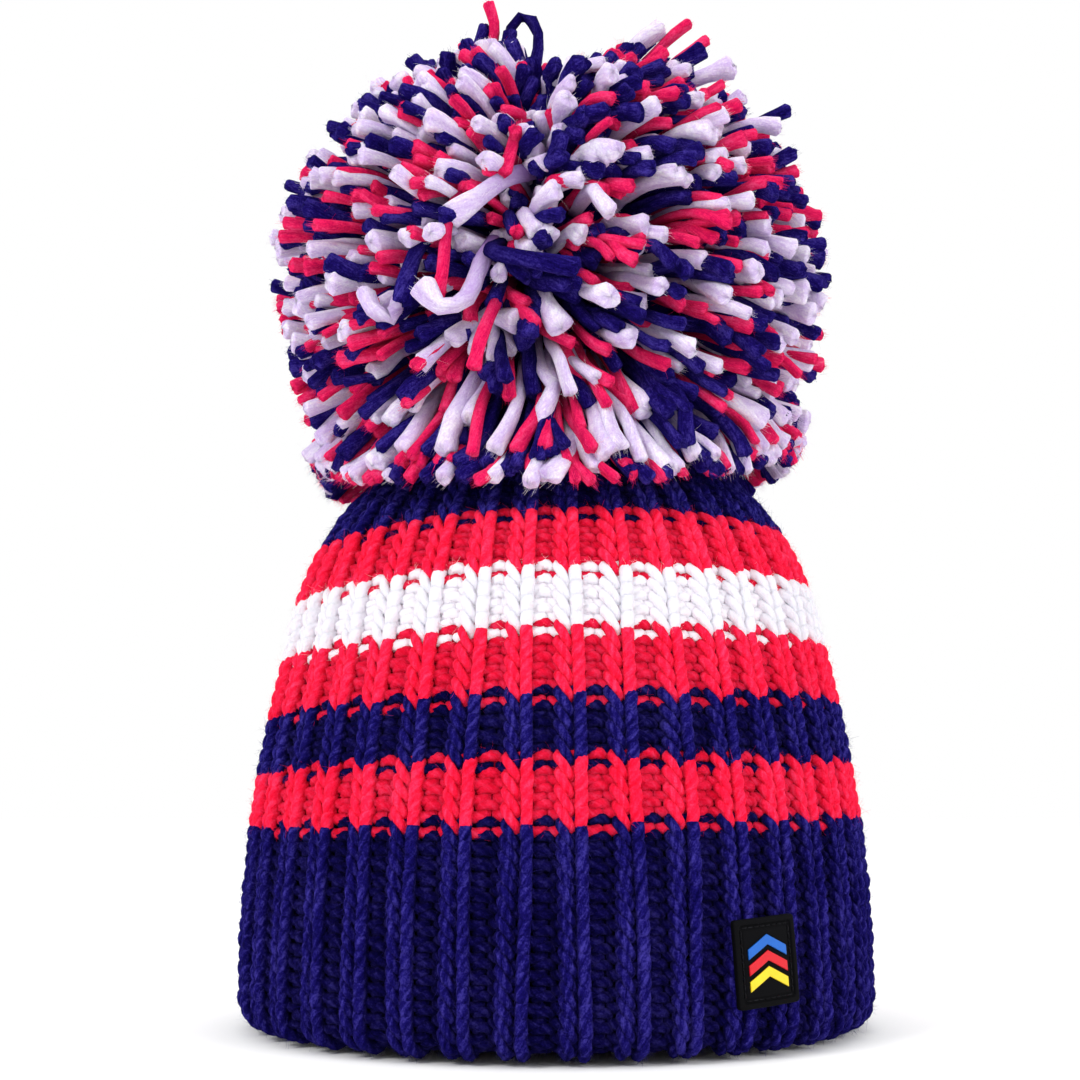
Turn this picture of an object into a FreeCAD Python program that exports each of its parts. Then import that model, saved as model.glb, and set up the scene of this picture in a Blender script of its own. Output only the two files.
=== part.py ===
"""Knitted beanie with a big yarn pom pom, as a parametric assembly in millimetres.

The hat stands on its hem. Z is up, the front faces -Y, and the origin is the centre of the hem's base.
"""
import FreeCAD, Part
import math
import os

import Sketcher

SIZES = {
    # outer face of the knitted wall: a wide arc below and a sphere for the top of the head
    "hem_radius": 95.2,
    "widest_height": 15,
    "wall_bend": 400,
    "dome_radius": 83.5,
    "dome_height": 103,
    "knit_thickness": 6.5,
    # heights where one yarn colour gives way to the next
    "hem_top": 62,
    "lower_coral_top": 78.5,
    "navy_stripe_top": 95.8,
    "middle_coral_top": 113.5,
    "white_top": 130,
    "upper_coral_top": 146,
    # the hem's rounded bottom edge and the strip turned up inside it
    "hem_round": 9,
    "turned_edge_radius": 83.3,
    "turned_edge_top": 13,
    # hole in the crown and the string that gathers it
    "crown_hole_radius": 5.6,
    "drawstring_ring_radius": 6.9,
    "drawstring_radius": 1.2,
    "string_clearance": 0.15,
    # fleece band inside
    "lining_radius": 81,
    "lining_thickness": 2,
    "lining_bottom": 10,
    "lining_top": 70,
    "stitch_channel_depth": 1,
    "stitch_channel_width": 2,
    "lower_channel": 17,
    "upper_channel": 64,
    "join_channel": 12,
    # sewing threads
    "thread_radius": 0.4,
    "lining_stitch_depth": 0.5,
    "lining_stitch_length": 6,
    "lining_stitch_count": 60,
    "join_stitch_count": 90,
    "join_stitch_length": 1.6,
    "seam_thread_radius": 0.8,
    "seam_thread_gap": 0.3,
    "seam_break": 0.6,
    "seam_above_lining": 4,
    "seam_above_stripes": 18,
    # patch sewn on the hem
    "patch_width": 20.4,
    "patch_length": 22.8,
    "patch_corner": 0.8,
    "patch_centre": 25,
    "patch_azimuth": 35,
    "patch_tilt": 3.5,
    "patch_back": 0.3,
    "patch_floor": 1.4,
    "patch_rim": 2,
    "patch_rim_width": 1.5,
    "patch_stitch_inset": 2.1,
    "patch_stitch_long": 1.3,
    "patch_stitch_wide": 0.45,
    "patch_stitch_pitch": 2.1,
    "chevron_half_width": 6.4,
    "chevron_rise": 3.4,
    "chevron_band": 2.6,
    "chevron_pitch": 4.1,
    # care label inside the back
    "label_width": 20,
    "label_length": 22,
    "label_thickness": 0.6,
    "label_face": 76.3,
    "label_top": 100,
    "label_thread_length": 2.3,
    "label_thread_pitch": 3.2,
    # cord and knots that hold the pom pom
    "pivot_height": 183,
    "tails_radius": 2.5,
    "tails_bottom": 178,
    "tails_top": 190,
    "anchor_knot_radius": 7,
    "tie_knot_radius": 6,
    "tie_knot_centre": 198,
    "tie_stem_radius": 3,
    "tie_stem_top": 226,
    "binding_inner_radius": 5,
    "binding_bottom": 226,
    "binding_length": 12,
    # pom pom: outline, and a hollow underneath that clears the crown when it nods
    "core_radius": 9,
    "pom_radius": 85,
    "pom_waist": 232,
    "pom_lower_bend": 163.6,
    "pom_top": 308,
    "pom_rim_radius": 73,
    "pom_rim_height": 170.5,
    "pom_swing": 11.3,
    "pom_clearance": 0.8,
    "wedge_angle": 30,
}

doc = FreeCAD.newDocument("pom_beanie")
sheet = doc.addObject("Spreadsheet::Sheet", "Sizes")
for row, (alias, size) in enumerate(SIZES.items(), start=1):
    sheet.set(f"A{row}", alias)
    sheet.set(f"B{row}", str(size))
    sheet.setAlias(f"B{row}", alias)
doc.recompute()

nodes = []


def value(expression):
    """Number that an expression on the sheet gives now, in millimetres or degrees."""
    result = doc.Sizes.evalExpression(expression)
    return float(getattr(result, "Value", result))


def keep(piece, label):
    """Mark an object as a finished piece, under the name that its file gets."""
    piece.Label = label
    nodes.append(piece)
    return piece


def new_body(label):
    return doc.addObject("PartDesign::Body", f"{label}_body")


def plane(body, role):
    return next(item for item in body.Origin.OriginFeatures if item.Role == role)


def new_sketch(body, label, role="XZ_Plane"):
    sketch = body.newObject("Sketcher::SketchObject", f"{label}_sketch")
    sketch.AttachmentSupport = [(plane(body, role), "")]
    sketch.MapMode = "FlatFace"
    return sketch


def arc_edge(start, end, radius):
    """Arc of a radius between two points; a positive radius turns anticlockwise."""
    middle = (start + end) / 2
    chord = end - start
    rise = math.sqrt(radius ** 2 - (chord.Length / 2) ** 2)
    side = FreeCAD.Vector(-chord.y, chord.x, 0).normalize() * math.copysign(rise, radius)
    centre = middle + side
    first = math.atan2(start.y - centre.y, start.x - centre.x)
    last = math.atan2(end.y - centre.y, end.x - centre.x)
    if radius < 0:
        first, last = last, first
    circle = Part.Circle(centre, FreeCAD.Vector(0, 0, 1), abs(radius))
    return Part.ArcOfCircle(circle, first, last if last > first else last + 2 * math.pi)


def bind_corner(sketch, edge, end, corner):
    """Tie one end of an edge to its two coordinates on the sheet."""
    here = sketch.getPoint(edge, end)
    for kind, expression, offset in (("DistanceX", corner[0], here.x), ("DistanceY", corner[1], here.y)):
        if abs(offset) < 1e-9:
            axis = -2 if kind == "DistanceX" else -1
            sketch.addConstraint(Sketcher.Constraint("PointOnObject", edge, end, axis))
        else:
            number = sketch.addConstraint(Sketcher.Constraint(kind, -1, 1, edge, end, offset))
            sketch.setExpression(f"Constraints[{number}]", expression)


def add_outline(sketch, corners, bends=None):
    """Closed outline through corners, each a pair of expressions.

    bends gives the signed radius of the edge that leaves a corner, where that edge isn't straight.
    """
    bends = bends or {}
    points = [FreeCAD.Vector(value(across), value(up), 0) for across, up in corners]
    edges = []
    for number, start in enumerate(points):
        end = points[(number + 1) % len(points)]
        if number in bends:
            shape = arc_edge(start, end, value(bends[number]))
        else:
            shape = Part.LineSegment(start, end)
        edges.append(sketch.addGeometry(shape, False))
    clockwise = [number in bends and value(bends[number]) < 0 for number in range(len(points))]
    for number, corner in enumerate(corners):
        before = number - 1
        leaving = 2 if clockwise[number] else 1
        arriving = 1 if clockwise[before] else 2
        sketch.addConstraint(
            Sketcher.Constraint("Coincident", edges[before], arriving, edges[number], leaving))
        bind_corner(sketch, edges[number], leaving, corner)
        if number in bends:
            radius = abs(value(bends[number]))
            limit = sketch.addConstraint(Sketcher.Constraint("Radius", edges[number], radius))
            sketch.setExpression(f"Constraints[{limit}]", f"abs({bends[number]})")


def revolve(body, label, sketch, angle="360", midplane=False):
    turned = body.newObject("PartDesign::Revolution", f"{label}_revolution")
    turned.Profile = sketch
    turned.ReferenceAxis = (sketch, ["V_Axis"])
    turned.setExpression("Angle", angle)
    turned.Midplane = midplane
    body.Tip = turned
    doc.recompute()
    return turned


def turned_piece(label, corners, bends=None):
    """A round piece made by turning an outline about the hat's axis."""
    body = new_body(label)
    sketch = new_sketch(body, label)
    add_outline(sketch, corners, bends)
    revolve(body, label, sketch)
    return keep(body, label)


# ---------------------------------------------------------------- the knitted wall

def wall(height, depth="0"):
    """Radius of the wide lower wall at a height, that far under its outer face."""
    return (f"Sizes.hem_radius - Sizes.wall_bend + sqrt((Sizes.wall_bend - {depth})^2"
            f" - ({height} - Sizes.widest_height)^2)")


def dome(height, depth="0"):
    """Radius of the dome at a height, that far under its outer face."""
    return f"sqrt((Sizes.dome_radius - {depth})^2 - ({height} - Sizes.dome_height)^2)"


THICK = "Sizes.knit_thickness"
WALL_BENDS = {1: "Sizes.wall_bend", 3: f"-(Sizes.wall_bend - {THICK})"}
DOME_BENDS = {1: "Sizes.dome_radius", 3: f"-(Sizes.dome_radius - {THICK})"}


def stripe(label, low, high, face, bends):
    """One colour of the wall: a ring between two heights."""
    turned_piece(label, [
        (face(low, THICK), low),
        (face(low), low),
        (face(high), high),
        (face(high, THICK), high),
    ], bends)


def make_hem_band():
    """Hem: outer wall, rounded bottom edge, and the strip turned up inside."""
    round_top = "Sizes.hem_round"
    hem_top = "Sizes.hem_top"
    turned_in = "Sizes.turned_edge_radius"
    turned_top = "Sizes.turned_edge_top"
    turned_piece("hem_band", [
        (turned_in, "0"),
        (f"{wall(round_top)} - Sizes.hem_round", "0"),
        (wall(round_top), round_top),
        (wall(hem_top), hem_top),
        (wall(hem_top, THICK), hem_top),
        (wall(turned_top, THICK), turned_top),
        (turned_in, turned_top),
    ], {1: "Sizes.hem_round", 2: "Sizes.wall_bend", 4: f"-(Sizes.wall_bend - {THICK})"})


def make_stripes():
    stripe("stripe_coral_lower", "Sizes.hem_top", "Sizes.lower_coral_top", wall, WALL_BENDS)
    stripe("stripe_navy", "Sizes.lower_coral_top", "Sizes.navy_stripe_top", wall, WALL_BENDS)
    stripe("stripe_coral_middle", "Sizes.navy_stripe_top", "Sizes.middle_coral_top", wall, WALL_BENDS)
    stripe("stripe_white", "Sizes.middle_coral_top", "Sizes.white_top", dome, DOME_BENDS)
    stripe("stripe_coral_upper", "Sizes.white_top", "Sizes.upper_coral_top", dome, DOME_BENDS)


def dome_top(radius, depth="0"):
    """Height of the dome's face at a radius."""
    return f"Sizes.dome_height + sqrt((Sizes.dome_radius - {depth})^2 - ({radius})^2)"


def make_crown():
    """Crown: the dome's cap, open in the middle, with a groove for the string that gathers it."""
    low = "Sizes.upper_coral_top"
    hole = "Sizes.crown_hole_radius"
    body = new_body("crown")
    sketch = new_sketch(body, "crown")
    add_outline(sketch, [
        (dome(low, THICK), low),
        (dome(low), low),
        (hole, dome_top(hole)),
        (hole, dome_top(hole, THICK)),
    ], DOME_BENDS)
    revolve(body, "crown", sketch)
    groove = body.newObject("PartDesign::SubtractiveTorus", "drawstring_groove")
    groove.AttachmentSupport = [(plane(body, "XY_Plane"), "")]
    groove.MapMode = "FlatFace"
    groove.setExpression("Radius1", "Sizes.drawstring_ring_radius")
    groove.setExpression("Radius2", "Sizes.drawstring_radius + Sizes.string_clearance")
    groove.setExpression("AttachmentOffset.Base.z", "Sizes.pivot_height")
    body.Tip = groove
    keep(body, "crown")


def make_crown_drawstring():
    """String that gathers the last round of stitches."""
    ring = doc.addObject("Part::Torus", "drawstring_ring")
    ring.setExpression("Radius1", "Sizes.drawstring_ring_radius")
    ring.setExpression("Radius2", "Sizes.drawstring_radius")
    ring.setExpression("Placement.Base.z", "Sizes.pivot_height")
    keep(ring, "crown_drawstring")


def make_back_seam_thread():
    """Two stretches of cord that close the seam up the inside of the back, along the wall's inner face."""
    inset = f"({THICK} + Sizes.seam_thread_radius + Sizes.seam_thread_gap)"
    join = "Sizes.middle_coral_top"
    spans = (
        ("lower_run", f"(Sizes.wall_bend - {inset})", "Sizes.hem_radius - Sizes.wall_bend",
         "Sizes.widest_height", "Sizes.lining_top + Sizes.seam_above_lining", f"{join} - Sizes.seam_break"),
        ("upper_run", f"(Sizes.dome_radius - {inset})", "0",
         "Sizes.dome_height", join, "Sizes.upper_coral_top + Sizes.seam_above_stripes"),
    )
    sideways = FreeCAD.Rotation(FreeCAD.Vector(0, 0, 1), 90)
    upright = FreeCAD.Rotation(FreeCAD.Vector(1, 0, 0), 90)
    runs = []
    for name, radius, centre, height, low, high in spans:
        run = doc.addObject("Part::Torus", name)
        first = f"asin(({low} - {height}) / {radius})"
        last = f"asin(({high} - {height}) / {radius})"
        run.setExpression("Radius1", radius)
        run.setExpression("Radius2", "Sizes.seam_thread_radius")
        run.setExpression("Angle3", f"{last} - {first}")
        start = FreeCAD.Rotation(FreeCAD.Vector(0, 0, 1), value(first))
        run.Placement.Rotation = sideways * upright * start
        run.setExpression("Placement.Base.y", centre)
        run.setExpression("Placement.Base.z", height)
        runs.append(run)
    joined = doc.addObject("Part::Compound", "back_seam_runs")
    joined.Links = runs
    keep(joined, "back_seam_thread")


# ---------------------------------------------------------------- the fleece band and its stitching

def make_lining_band():
    """Fleece band, with three shallow channels where rows of stitches sink into its face."""
    inner = "Sizes.lining_radius"
    outer = "Sizes.lining_radius + Sizes.lining_thickness"
    sunk = "Sizes.lining_radius + Sizes.stitch_channel_depth"
    corners = [(outer, "Sizes.lining_bottom"), (outer, "Sizes.lining_top"), (inner, "Sizes.lining_top")]
    for channel in ("upper_channel", "lower_channel", "join_channel"):
        top = f"Sizes.{channel} + Sizes.stitch_channel_width / 2"
        bottom = f"Sizes.{channel} - Sizes.stitch_channel_width / 2"
        corners += [(inner, top), (sunk, top), (sunk, bottom), (inner, bottom)]
    corners.append((inner, "Sizes.lining_bottom"))
    turned_piece("lining_band", corners)


def stitch_ring(label, height, length, count, across=True):
    """Row of equal threads round the inside of the lining, sunk in a channel clear of the head."""
    body = new_body(label)
    first = body.newObject("PartDesign::AdditiveCylinder", f"{label}_first")
    first.AttachmentSupport = [(plane(body, "XY_Plane"), "")]
    first.MapMode = "FlatFace"
    first.setExpression("Radius", "Sizes.thread_radius")
    first.setExpression("Height", length)
    lying = FreeCAD.Rotation(FreeCAD.Vector(0, 1, 0), 90) if across else FreeCAD.Rotation()
    first.AttachmentOffset = FreeCAD.Placement(FreeCAD.Vector(0, 0, 0), lying)
    shift = "AttachmentOffset.Base.x" if across else "AttachmentOffset.Base.z"
    first.setExpression("AttachmentOffset.Base.y", "Sizes.lining_radius + Sizes.lining_stitch_depth")
    if across:
        first.setExpression("AttachmentOffset.Base.z", height)
        first.setExpression(shift, f"-({length}) / 2")
    else:
        first.setExpression(shift, f"{height} - ({length}) / 2")
    body.Tip = first
    doc.recompute()
    ring = body.newObject("PartDesign::PolarPattern", f"{label}_pattern")
    ring.Originals = [first]
    ring.Axis = (plane(body, "Z_Axis"), [""])
    ring.Angle = 360
    ring.setExpression("Occurrences", count)
    body.Tip = ring
    keep(body, label)


def make_lining_stitches():
    count = "Sizes.lining_stitch_count"
    length = "Sizes.lining_stitch_length"
    stitch_ring("lining_lower_stitches", "Sizes.lower_channel", length, count)
    stitch_ring("lining_upper_stitches", "Sizes.upper_channel", length, count)
    stitch_ring("lining_join_stitches", "Sizes.join_channel", "Sizes.join_stitch_length",
                "Sizes.join_stitch_count", across=False)


# ---------------------------------------------------------------- the patch

def hem_shell(label, low, high):
    """Thin sector that follows the hem's outer face between two offsets from it."""
    body = new_body(label)
    sketch = new_sketch(body, label, "YZ_Plane")
    bottom = "Sizes.patch_centre - Sizes.patch_length"
    top = "Sizes.patch_centre + Sizes.patch_length"
    corners = [(f"-({wall(height, f'(-{depth})')})", height)
               for height, depth in ((bottom, low), (bottom, high), (top, high), (top, low))]
    add_outline(sketch, corners, {
        1: f"-(Sizes.wall_bend + {high})",
        3: f"(Sizes.wall_bend + {low})",
    })
    revolve(body, label, sketch, "2 * asin(Sizes.patch_width / Sizes.hem_radius)", midplane=True)
    return body


def patch_prism(label, outlines):
    """Prism that points out of the hem's front, with the outlines as its section."""
    body = new_body(label)
    sketch = new_sketch(body, label)
    for corners in outlines:
        add_outline(sketch, corners)
    pad = body.newObject("PartDesign::Pad", f"{label}_pad")
    pad.Profile = sketch
    pad.setExpression("Length", "Sizes.hem_radius * 2")
    body.Tip = pad
    body.Placement.Rotation = FreeCAD.Rotation(FreeCAD.Vector(0, 1, 0), 1)
    body.setExpression("Placement.Rotation.Angle", "-Sizes.patch_tilt")
    body.setExpression("Placement.Base.z", "Sizes.patch_centre")
    doc.recompute()
    return body


def rectangle(half_width, half_length, across="0", up="0"):
    left = f"{across} - {half_width}"
    right = f"{across} + {half_width}"
    bottom = f"{up} - {half_length}"
    top = f"{up} + {half_length}"
    return [(left, bottom), (right, bottom), (right, top), (left, top)]


def clipped_rectangle(half_width, half_length, corner):
    """Rectangle with its four corners cut off."""
    wide = f"({half_width})"
    tall = f"({half_length})"
    return [
        (f"-{wide} + {corner}", f"-{tall}"), (f"{wide} - {corner}", f"-{tall}"),
        (wide, f"-{tall} + {corner}"), (wide, f"{tall} - {corner}"),
        (f"{wide} - {corner}", tall), (f"-{wide} + {corner}", tall),
        (f"-{wide}", f"{tall} - {corner}"), (f"-{wide}", f"-{tall} + {corner}"),
    ]


def on_hem(name, shell, prism):
    """What a shell and a prism share."""
    common = doc.addObject("Part::Common", name)
    common.Base = shell
    common.Tool = prism
    return common


def turn_to_patch(piece):
    """Swing a piece made at the front round to the patch's place."""
    piece.Placement = FreeCAD.Placement(FreeCAD.Vector(), FreeCAD.Rotation(FreeCAD.Vector(0, 0, 1), 1))
    piece.setExpression("Placement.Rotation.Angle", "Sizes.patch_azimuth")
    return piece


def make_patch_base():
    """Moulded patch: a curved plate with a raised rim round a sunk field."""
    half_width = "Sizes.patch_width / 2"
    half_length = "Sizes.patch_length / 2"
    plate = on_hem(
        "patch_plate",
        hem_shell("plate_shell", "Sizes.patch_back", "Sizes.patch_rim"),
        patch_prism("plate_prism", [clipped_rectangle(half_width, half_length, "Sizes.patch_corner")]))
    field = on_hem(
        "patch_field",
        hem_shell("field_shell", "Sizes.patch_floor", "(Sizes.patch_rim + 1)"),
        patch_prism("field_prism", [rectangle(
            "(Sizes.patch_width / 2 - Sizes.patch_rim_width)",
            "(Sizes.patch_length / 2 - Sizes.patch_rim_width)")]))
    base = doc.addObject("Part::Cut", "patch_cut")
    base.Base = plate
    base.Tool = field
    keep(turn_to_patch(base), "patch_base")


def chevron(place):
    """Bent band, a number of pitches above the patch's centre."""
    side = "Sizes.chevron_half_width"
    lift = f"{place} * Sizes.chevron_pitch - Sizes.chevron_rise / 2 - Sizes.chevron_band / 2"
    return [
        (f"-{side}", lift), ("0", f"{lift} + Sizes.chevron_rise"), (side, lift),
        (side, f"{lift} + Sizes.chevron_band"),
        ("0", f"{lift} + Sizes.chevron_rise + Sizes.chevron_band"),
        (f"-{side}", f"{lift} + Sizes.chevron_band"),
    ]


def make_patch_chevrons():
    for colour, place in (("blue", 1), ("red", 0), ("yellow", -1)):
        label = f"patch_chevron_{colour}"
        band = on_hem(
            f"{label}_band",
            hem_shell(f"{label}_shell", "Sizes.patch_floor", "Sizes.patch_rim"),
            patch_prism(f"{label}_prism", [chevron(place)]))
        keep(turn_to_patch(band), label)


def make_patch_stitches():
    """Threads that run round the field, just inside the rim."""
    inset = "Sizes.patch_stitch_inset"
    pitch = value("Sizes.patch_stitch_pitch")
    long_half = "Sizes.patch_stitch_long / 2"
    wide_half = "Sizes.patch_stitch_wide / 2"
    outlines = []
    for length, across in (("patch_width", True), ("patch_length", False)):
        other = "patch_length" if across else "patch_width"
        run = value(f"Sizes.{length}") - 2 * value(inset) - pitch
        count = int(run // pitch)
        for number in range(count):
            along = f"({number} - {(count - 1) / 2}) * Sizes.patch_stitch_pitch"
            for side in (-1, 1):
                edge = f"{side} * (Sizes.{other} / 2 - {inset})"
                if across:
                    outlines.append(rectangle(long_half, wide_half, along, edge))
                else:
                    outlines.append(rectangle(wide_half, long_half, edge, along))
    threads = on_hem(
        "patch_threads",
        hem_shell("stitch_shell", "Sizes.patch_floor", "Sizes.patch_rim"),
        patch_prism("stitch_prism", outlines))
    keep(turn_to_patch(threads), "patch_stitches")


# ---------------------------------------------------------------- the care label

def make_care_label():
    """Plain satin tab that hangs from its top edge inside the back."""
    label = doc.addObject("Part::Box", "label_tab")
    label.setExpression("Length", "Sizes.label_width")
    label.setExpression("Width", "Sizes.label_thickness")
    label.setExpression("Height", "Sizes.label_length")
    label.setExpression("Placement.Base.x", "-Sizes.label_width / 2")
    label.setExpression("Placement.Base.y", "Sizes.label_face")
    label.setExpression("Placement.Base.z", "Sizes.label_top - Sizes.label_length")
    keep(label, "care_label")


def make_care_label_stitches():
    """Short threads from the wall over the label's top edge, three each side of the seam's cord."""
    threads = []
    for place in (-2.5, -1.5, -0.5, 0.5, 1.5, 2.5):
        thread = doc.addObject("Part::Cylinder", "label_thread")
        thread.setExpression("Radius", "Sizes.thread_radius")
        thread.setExpression("Height", "Sizes.label_thread_length")
        thread.Placement.Rotation = FreeCAD.Rotation(FreeCAD.Vector(1, 0, 0), -90)
        thread.setExpression("Placement.Base.x", f"{place} * Sizes.label_thread_pitch")
        thread.setExpression("Placement.Base.y", "Sizes.label_face")
        thread.setExpression("Placement.Base.z", "Sizes.label_top + Sizes.thread_radius + 0.4")
        threads.append(thread)
    group = doc.addObject("Part::Compound", "label_threads")
    group.Links = threads
    keep(group, "care_label_stitches")


# ---------------------------------------------------------------- the cord that ties the pom pom on

def make_tie_tails():
    """Cord through the crown's hole, from the knot inside to the pom pom's knot."""
    cord = doc.addObject("Part::Cylinder", "tails_cord")
    cord.setExpression("Radius", "Sizes.tails_radius")
    cord.setExpression("Height", "Sizes.tails_top - Sizes.tails_bottom")
    cord.setExpression("Placement.Base.z", "Sizes.tails_bottom")
    keep(cord, "tie_tails")


def make_tie_anchor_knot():
    """Knot inside the crown: a ball with a flat top that the cord leaves from."""
    ball = doc.addObject("Part::Sphere", "anchor_ball")
    ball.setExpression("Radius", "Sizes.anchor_knot_radius")
    flat = "sqrt(Sizes.anchor_knot_radius^2 - (Sizes.tails_radius + 1)^2)"
    ball.setExpression("Angle2", f"asin({flat} / Sizes.anchor_knot_radius)")
    ball.setExpression("Placement.Base.z", f"Sizes.tails_bottom - {flat}")
    keep(ball, "tie_anchor_knot")


def make_tie_knot():
    """Knot under the yarn and the cord's doubled stem up into the pom pom."""
    ball = doc.addObject("Part::Sphere", "knot_ball")
    ball.setExpression("Radius", "Sizes.tie_knot_radius")
    ball.setExpression("Placement.Base.z", "Sizes.tie_knot_centre")
    stem = doc.addObject("Part::Cylinder", "knot_stem")
    stem.setExpression("Radius", "Sizes.tie_stem_radius")
    stem.setExpression("Height", "Sizes.tie_stem_top - Sizes.tie_knot_centre")
    stem.setExpression("Placement.Base.z", "Sizes.tie_knot_centre")
    knot = doc.addObject("Part::Fuse", "knot_and_stem")
    knot.Base = ball
    knot.Tool = stem
    keep(knot, "tie_knot")


def make_tie_binding():
    """Binding wound tightly round the middle of the yarn bundle."""
    bottom = "Sizes.binding_bottom"
    top = "Sizes.binding_bottom + Sizes.binding_length"
    inner = "Sizes.binding_inner_radius"
    outer = "Sizes.core_radius"
    turned_piece("tie_binding", [(inner, bottom), (outer, bottom), (outer, top), (inner, top)])


# ---------------------------------------------------------------- the pom pom

def make_pom_yarns():
    """Three yarns that share the pom pom in turn, four wedges of each."""
    reach = "(Sizes.dome_height - Sizes.pivot_height)"
    side = f"(-{reach} * sin(Sizes.pom_swing))"
    level = f"(Sizes.pivot_height + {reach} * cos(Sizes.pom_swing))"
    hollow = "(Sizes.dome_radius + Sizes.pom_clearance)"
    dish_edge = f"{side} + sqrt({hollow}^2 - (Sizes.pom_rim_height - {level})^2)"
    core = "Sizes.core_radius"
    corners = [
        (core, f"{level} + {hollow}"),
        (side, f"{level} + {hollow}"),
        (dish_edge, "Sizes.pom_rim_height"),
        ("Sizes.pom_rim_radius", "Sizes.pom_rim_height"),
        ("Sizes.pom_radius", "Sizes.pom_waist"),
        (core, "Sizes.pom_top"),
    ]
    bends = {
        1: f"-{hollow}",
        3: "Sizes.pom_lower_bend",
        4: "(Sizes.pom_top - Sizes.pom_waist)",
    }
    yarns = ("navy", "coral", "white")
    for first, yarn in enumerate(yarns):
        body = new_body(f"pom_{yarn}")
        sketch = new_sketch(body, f"pom_{yarn}")
        add_outline(sketch, corners, bends)
        wedge = revolve(body, f"pom_{yarn}", sketch, "Sizes.wedge_angle")
        ring = body.newObject("PartDesign::PolarPattern", f"pom_{yarn}_pattern")
        ring.Originals = [wedge]
        ring.Axis = (plane(body, "Z_Axis"), [""])
        ring.Angle = 360
        ring.setExpression("Occurrences", f"360 / (Sizes.wedge_angle * {len(yarns)})")
        body.Tip = ring
        body.Placement.Rotation = FreeCAD.Rotation(FreeCAD.Vector(0, 0, 1), 1)
        body.setExpression("Placement.Rotation.Angle", f"Sizes.wedge_angle * {first}")
        keep(body, f"pom_yarn_{yarn}")


def check_model():
    """Stop if any feature failed or any piece is empty or broken."""
    doc.recompute()
    for item in doc.Objects:
        failed = [word for word in item.State if word in ("Invalid", "Error")]
        if failed:
            raise RuntimeError(f"{item.Name} is {failed}")
    for piece in nodes:
        shape = piece.Shape
        if shape.isNull() or not shape.isValid() or not shape.Solids:
            raise RuntimeError(f"{piece.Label} has no valid solid")
        print(f"{piece.Label:24s} solids {len(shape.Solids):3d}  volume {shape.Volume:12.1f}")


def write_parts():
    os.makedirs("parts", exist_ok=True)
    for piece in nodes:
        piece.Shape.exportStep(os.path.join("parts", f"{piece.Label}.step"))


make_hem_band()
make_stripes()
make_crown()
make_crown_drawstring()
make_back_seam_thread()
make_lining_band()
make_lining_stitches()
make_patch_base()
make_patch_chevrons()
make_patch_stitches()
make_care_label()
make_care_label_stitches()
make_tie_tails()
make_tie_anchor_knot()
make_tie_knot()
make_tie_binding()
make_pom_yarns()
check_model()
write_parts()
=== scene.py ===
"""Looks of the pom pom beanie: every course of rib knit and every strand of the pom pom as real yarn."""
import math

import bpy
import numpy as np
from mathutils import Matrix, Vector


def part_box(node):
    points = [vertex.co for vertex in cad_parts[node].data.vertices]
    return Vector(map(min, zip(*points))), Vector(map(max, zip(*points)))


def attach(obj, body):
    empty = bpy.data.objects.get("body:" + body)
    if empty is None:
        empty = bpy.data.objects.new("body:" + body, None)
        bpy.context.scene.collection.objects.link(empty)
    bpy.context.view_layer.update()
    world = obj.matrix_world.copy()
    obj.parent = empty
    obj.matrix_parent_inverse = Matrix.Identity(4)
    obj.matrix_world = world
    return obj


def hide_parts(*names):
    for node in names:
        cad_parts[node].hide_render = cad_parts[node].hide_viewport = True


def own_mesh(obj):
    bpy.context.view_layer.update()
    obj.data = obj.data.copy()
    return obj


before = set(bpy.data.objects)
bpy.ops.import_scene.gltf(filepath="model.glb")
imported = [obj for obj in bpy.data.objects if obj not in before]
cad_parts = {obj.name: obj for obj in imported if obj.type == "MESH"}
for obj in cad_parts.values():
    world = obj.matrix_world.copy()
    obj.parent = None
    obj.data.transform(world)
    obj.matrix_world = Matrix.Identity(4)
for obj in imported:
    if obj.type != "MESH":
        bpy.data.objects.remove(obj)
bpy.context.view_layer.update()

rng = np.random.default_rng(11)

# ---------------------------------------------------------------- sizes, in metres, from the frame

MM = 0.001


def corner_box(node):
    """A node's lowest and highest corners."""
    low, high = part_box(node)
    return np.array(low), np.array(high)


hem_high = corner_box("hem_band")[1]
crown_low = corner_box("crown")[0]
pom_high = corner_box("pom_yarn_navy")[1]
lining_low, lining_high = corner_box("lining_band")

HEM_RADIUS = 95.2 * MM        # outer face of the hem where it is widest
WIDEST_HEIGHT = 15 * MM
WALL_BEND = 400 * MM          # radius of the wall's gentle inward curve
DOME_RADIUS = 83.5 * MM       # the crown is part of a ball of this radius, centred at this height
DOME_HEIGHT = 103 * MM
DOME_START = corner_box("stripe_white")[0][2]
CROWN_HOLE = 6.5 * MM

# ---------------------------------------------------------------- meshes from arrays


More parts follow.
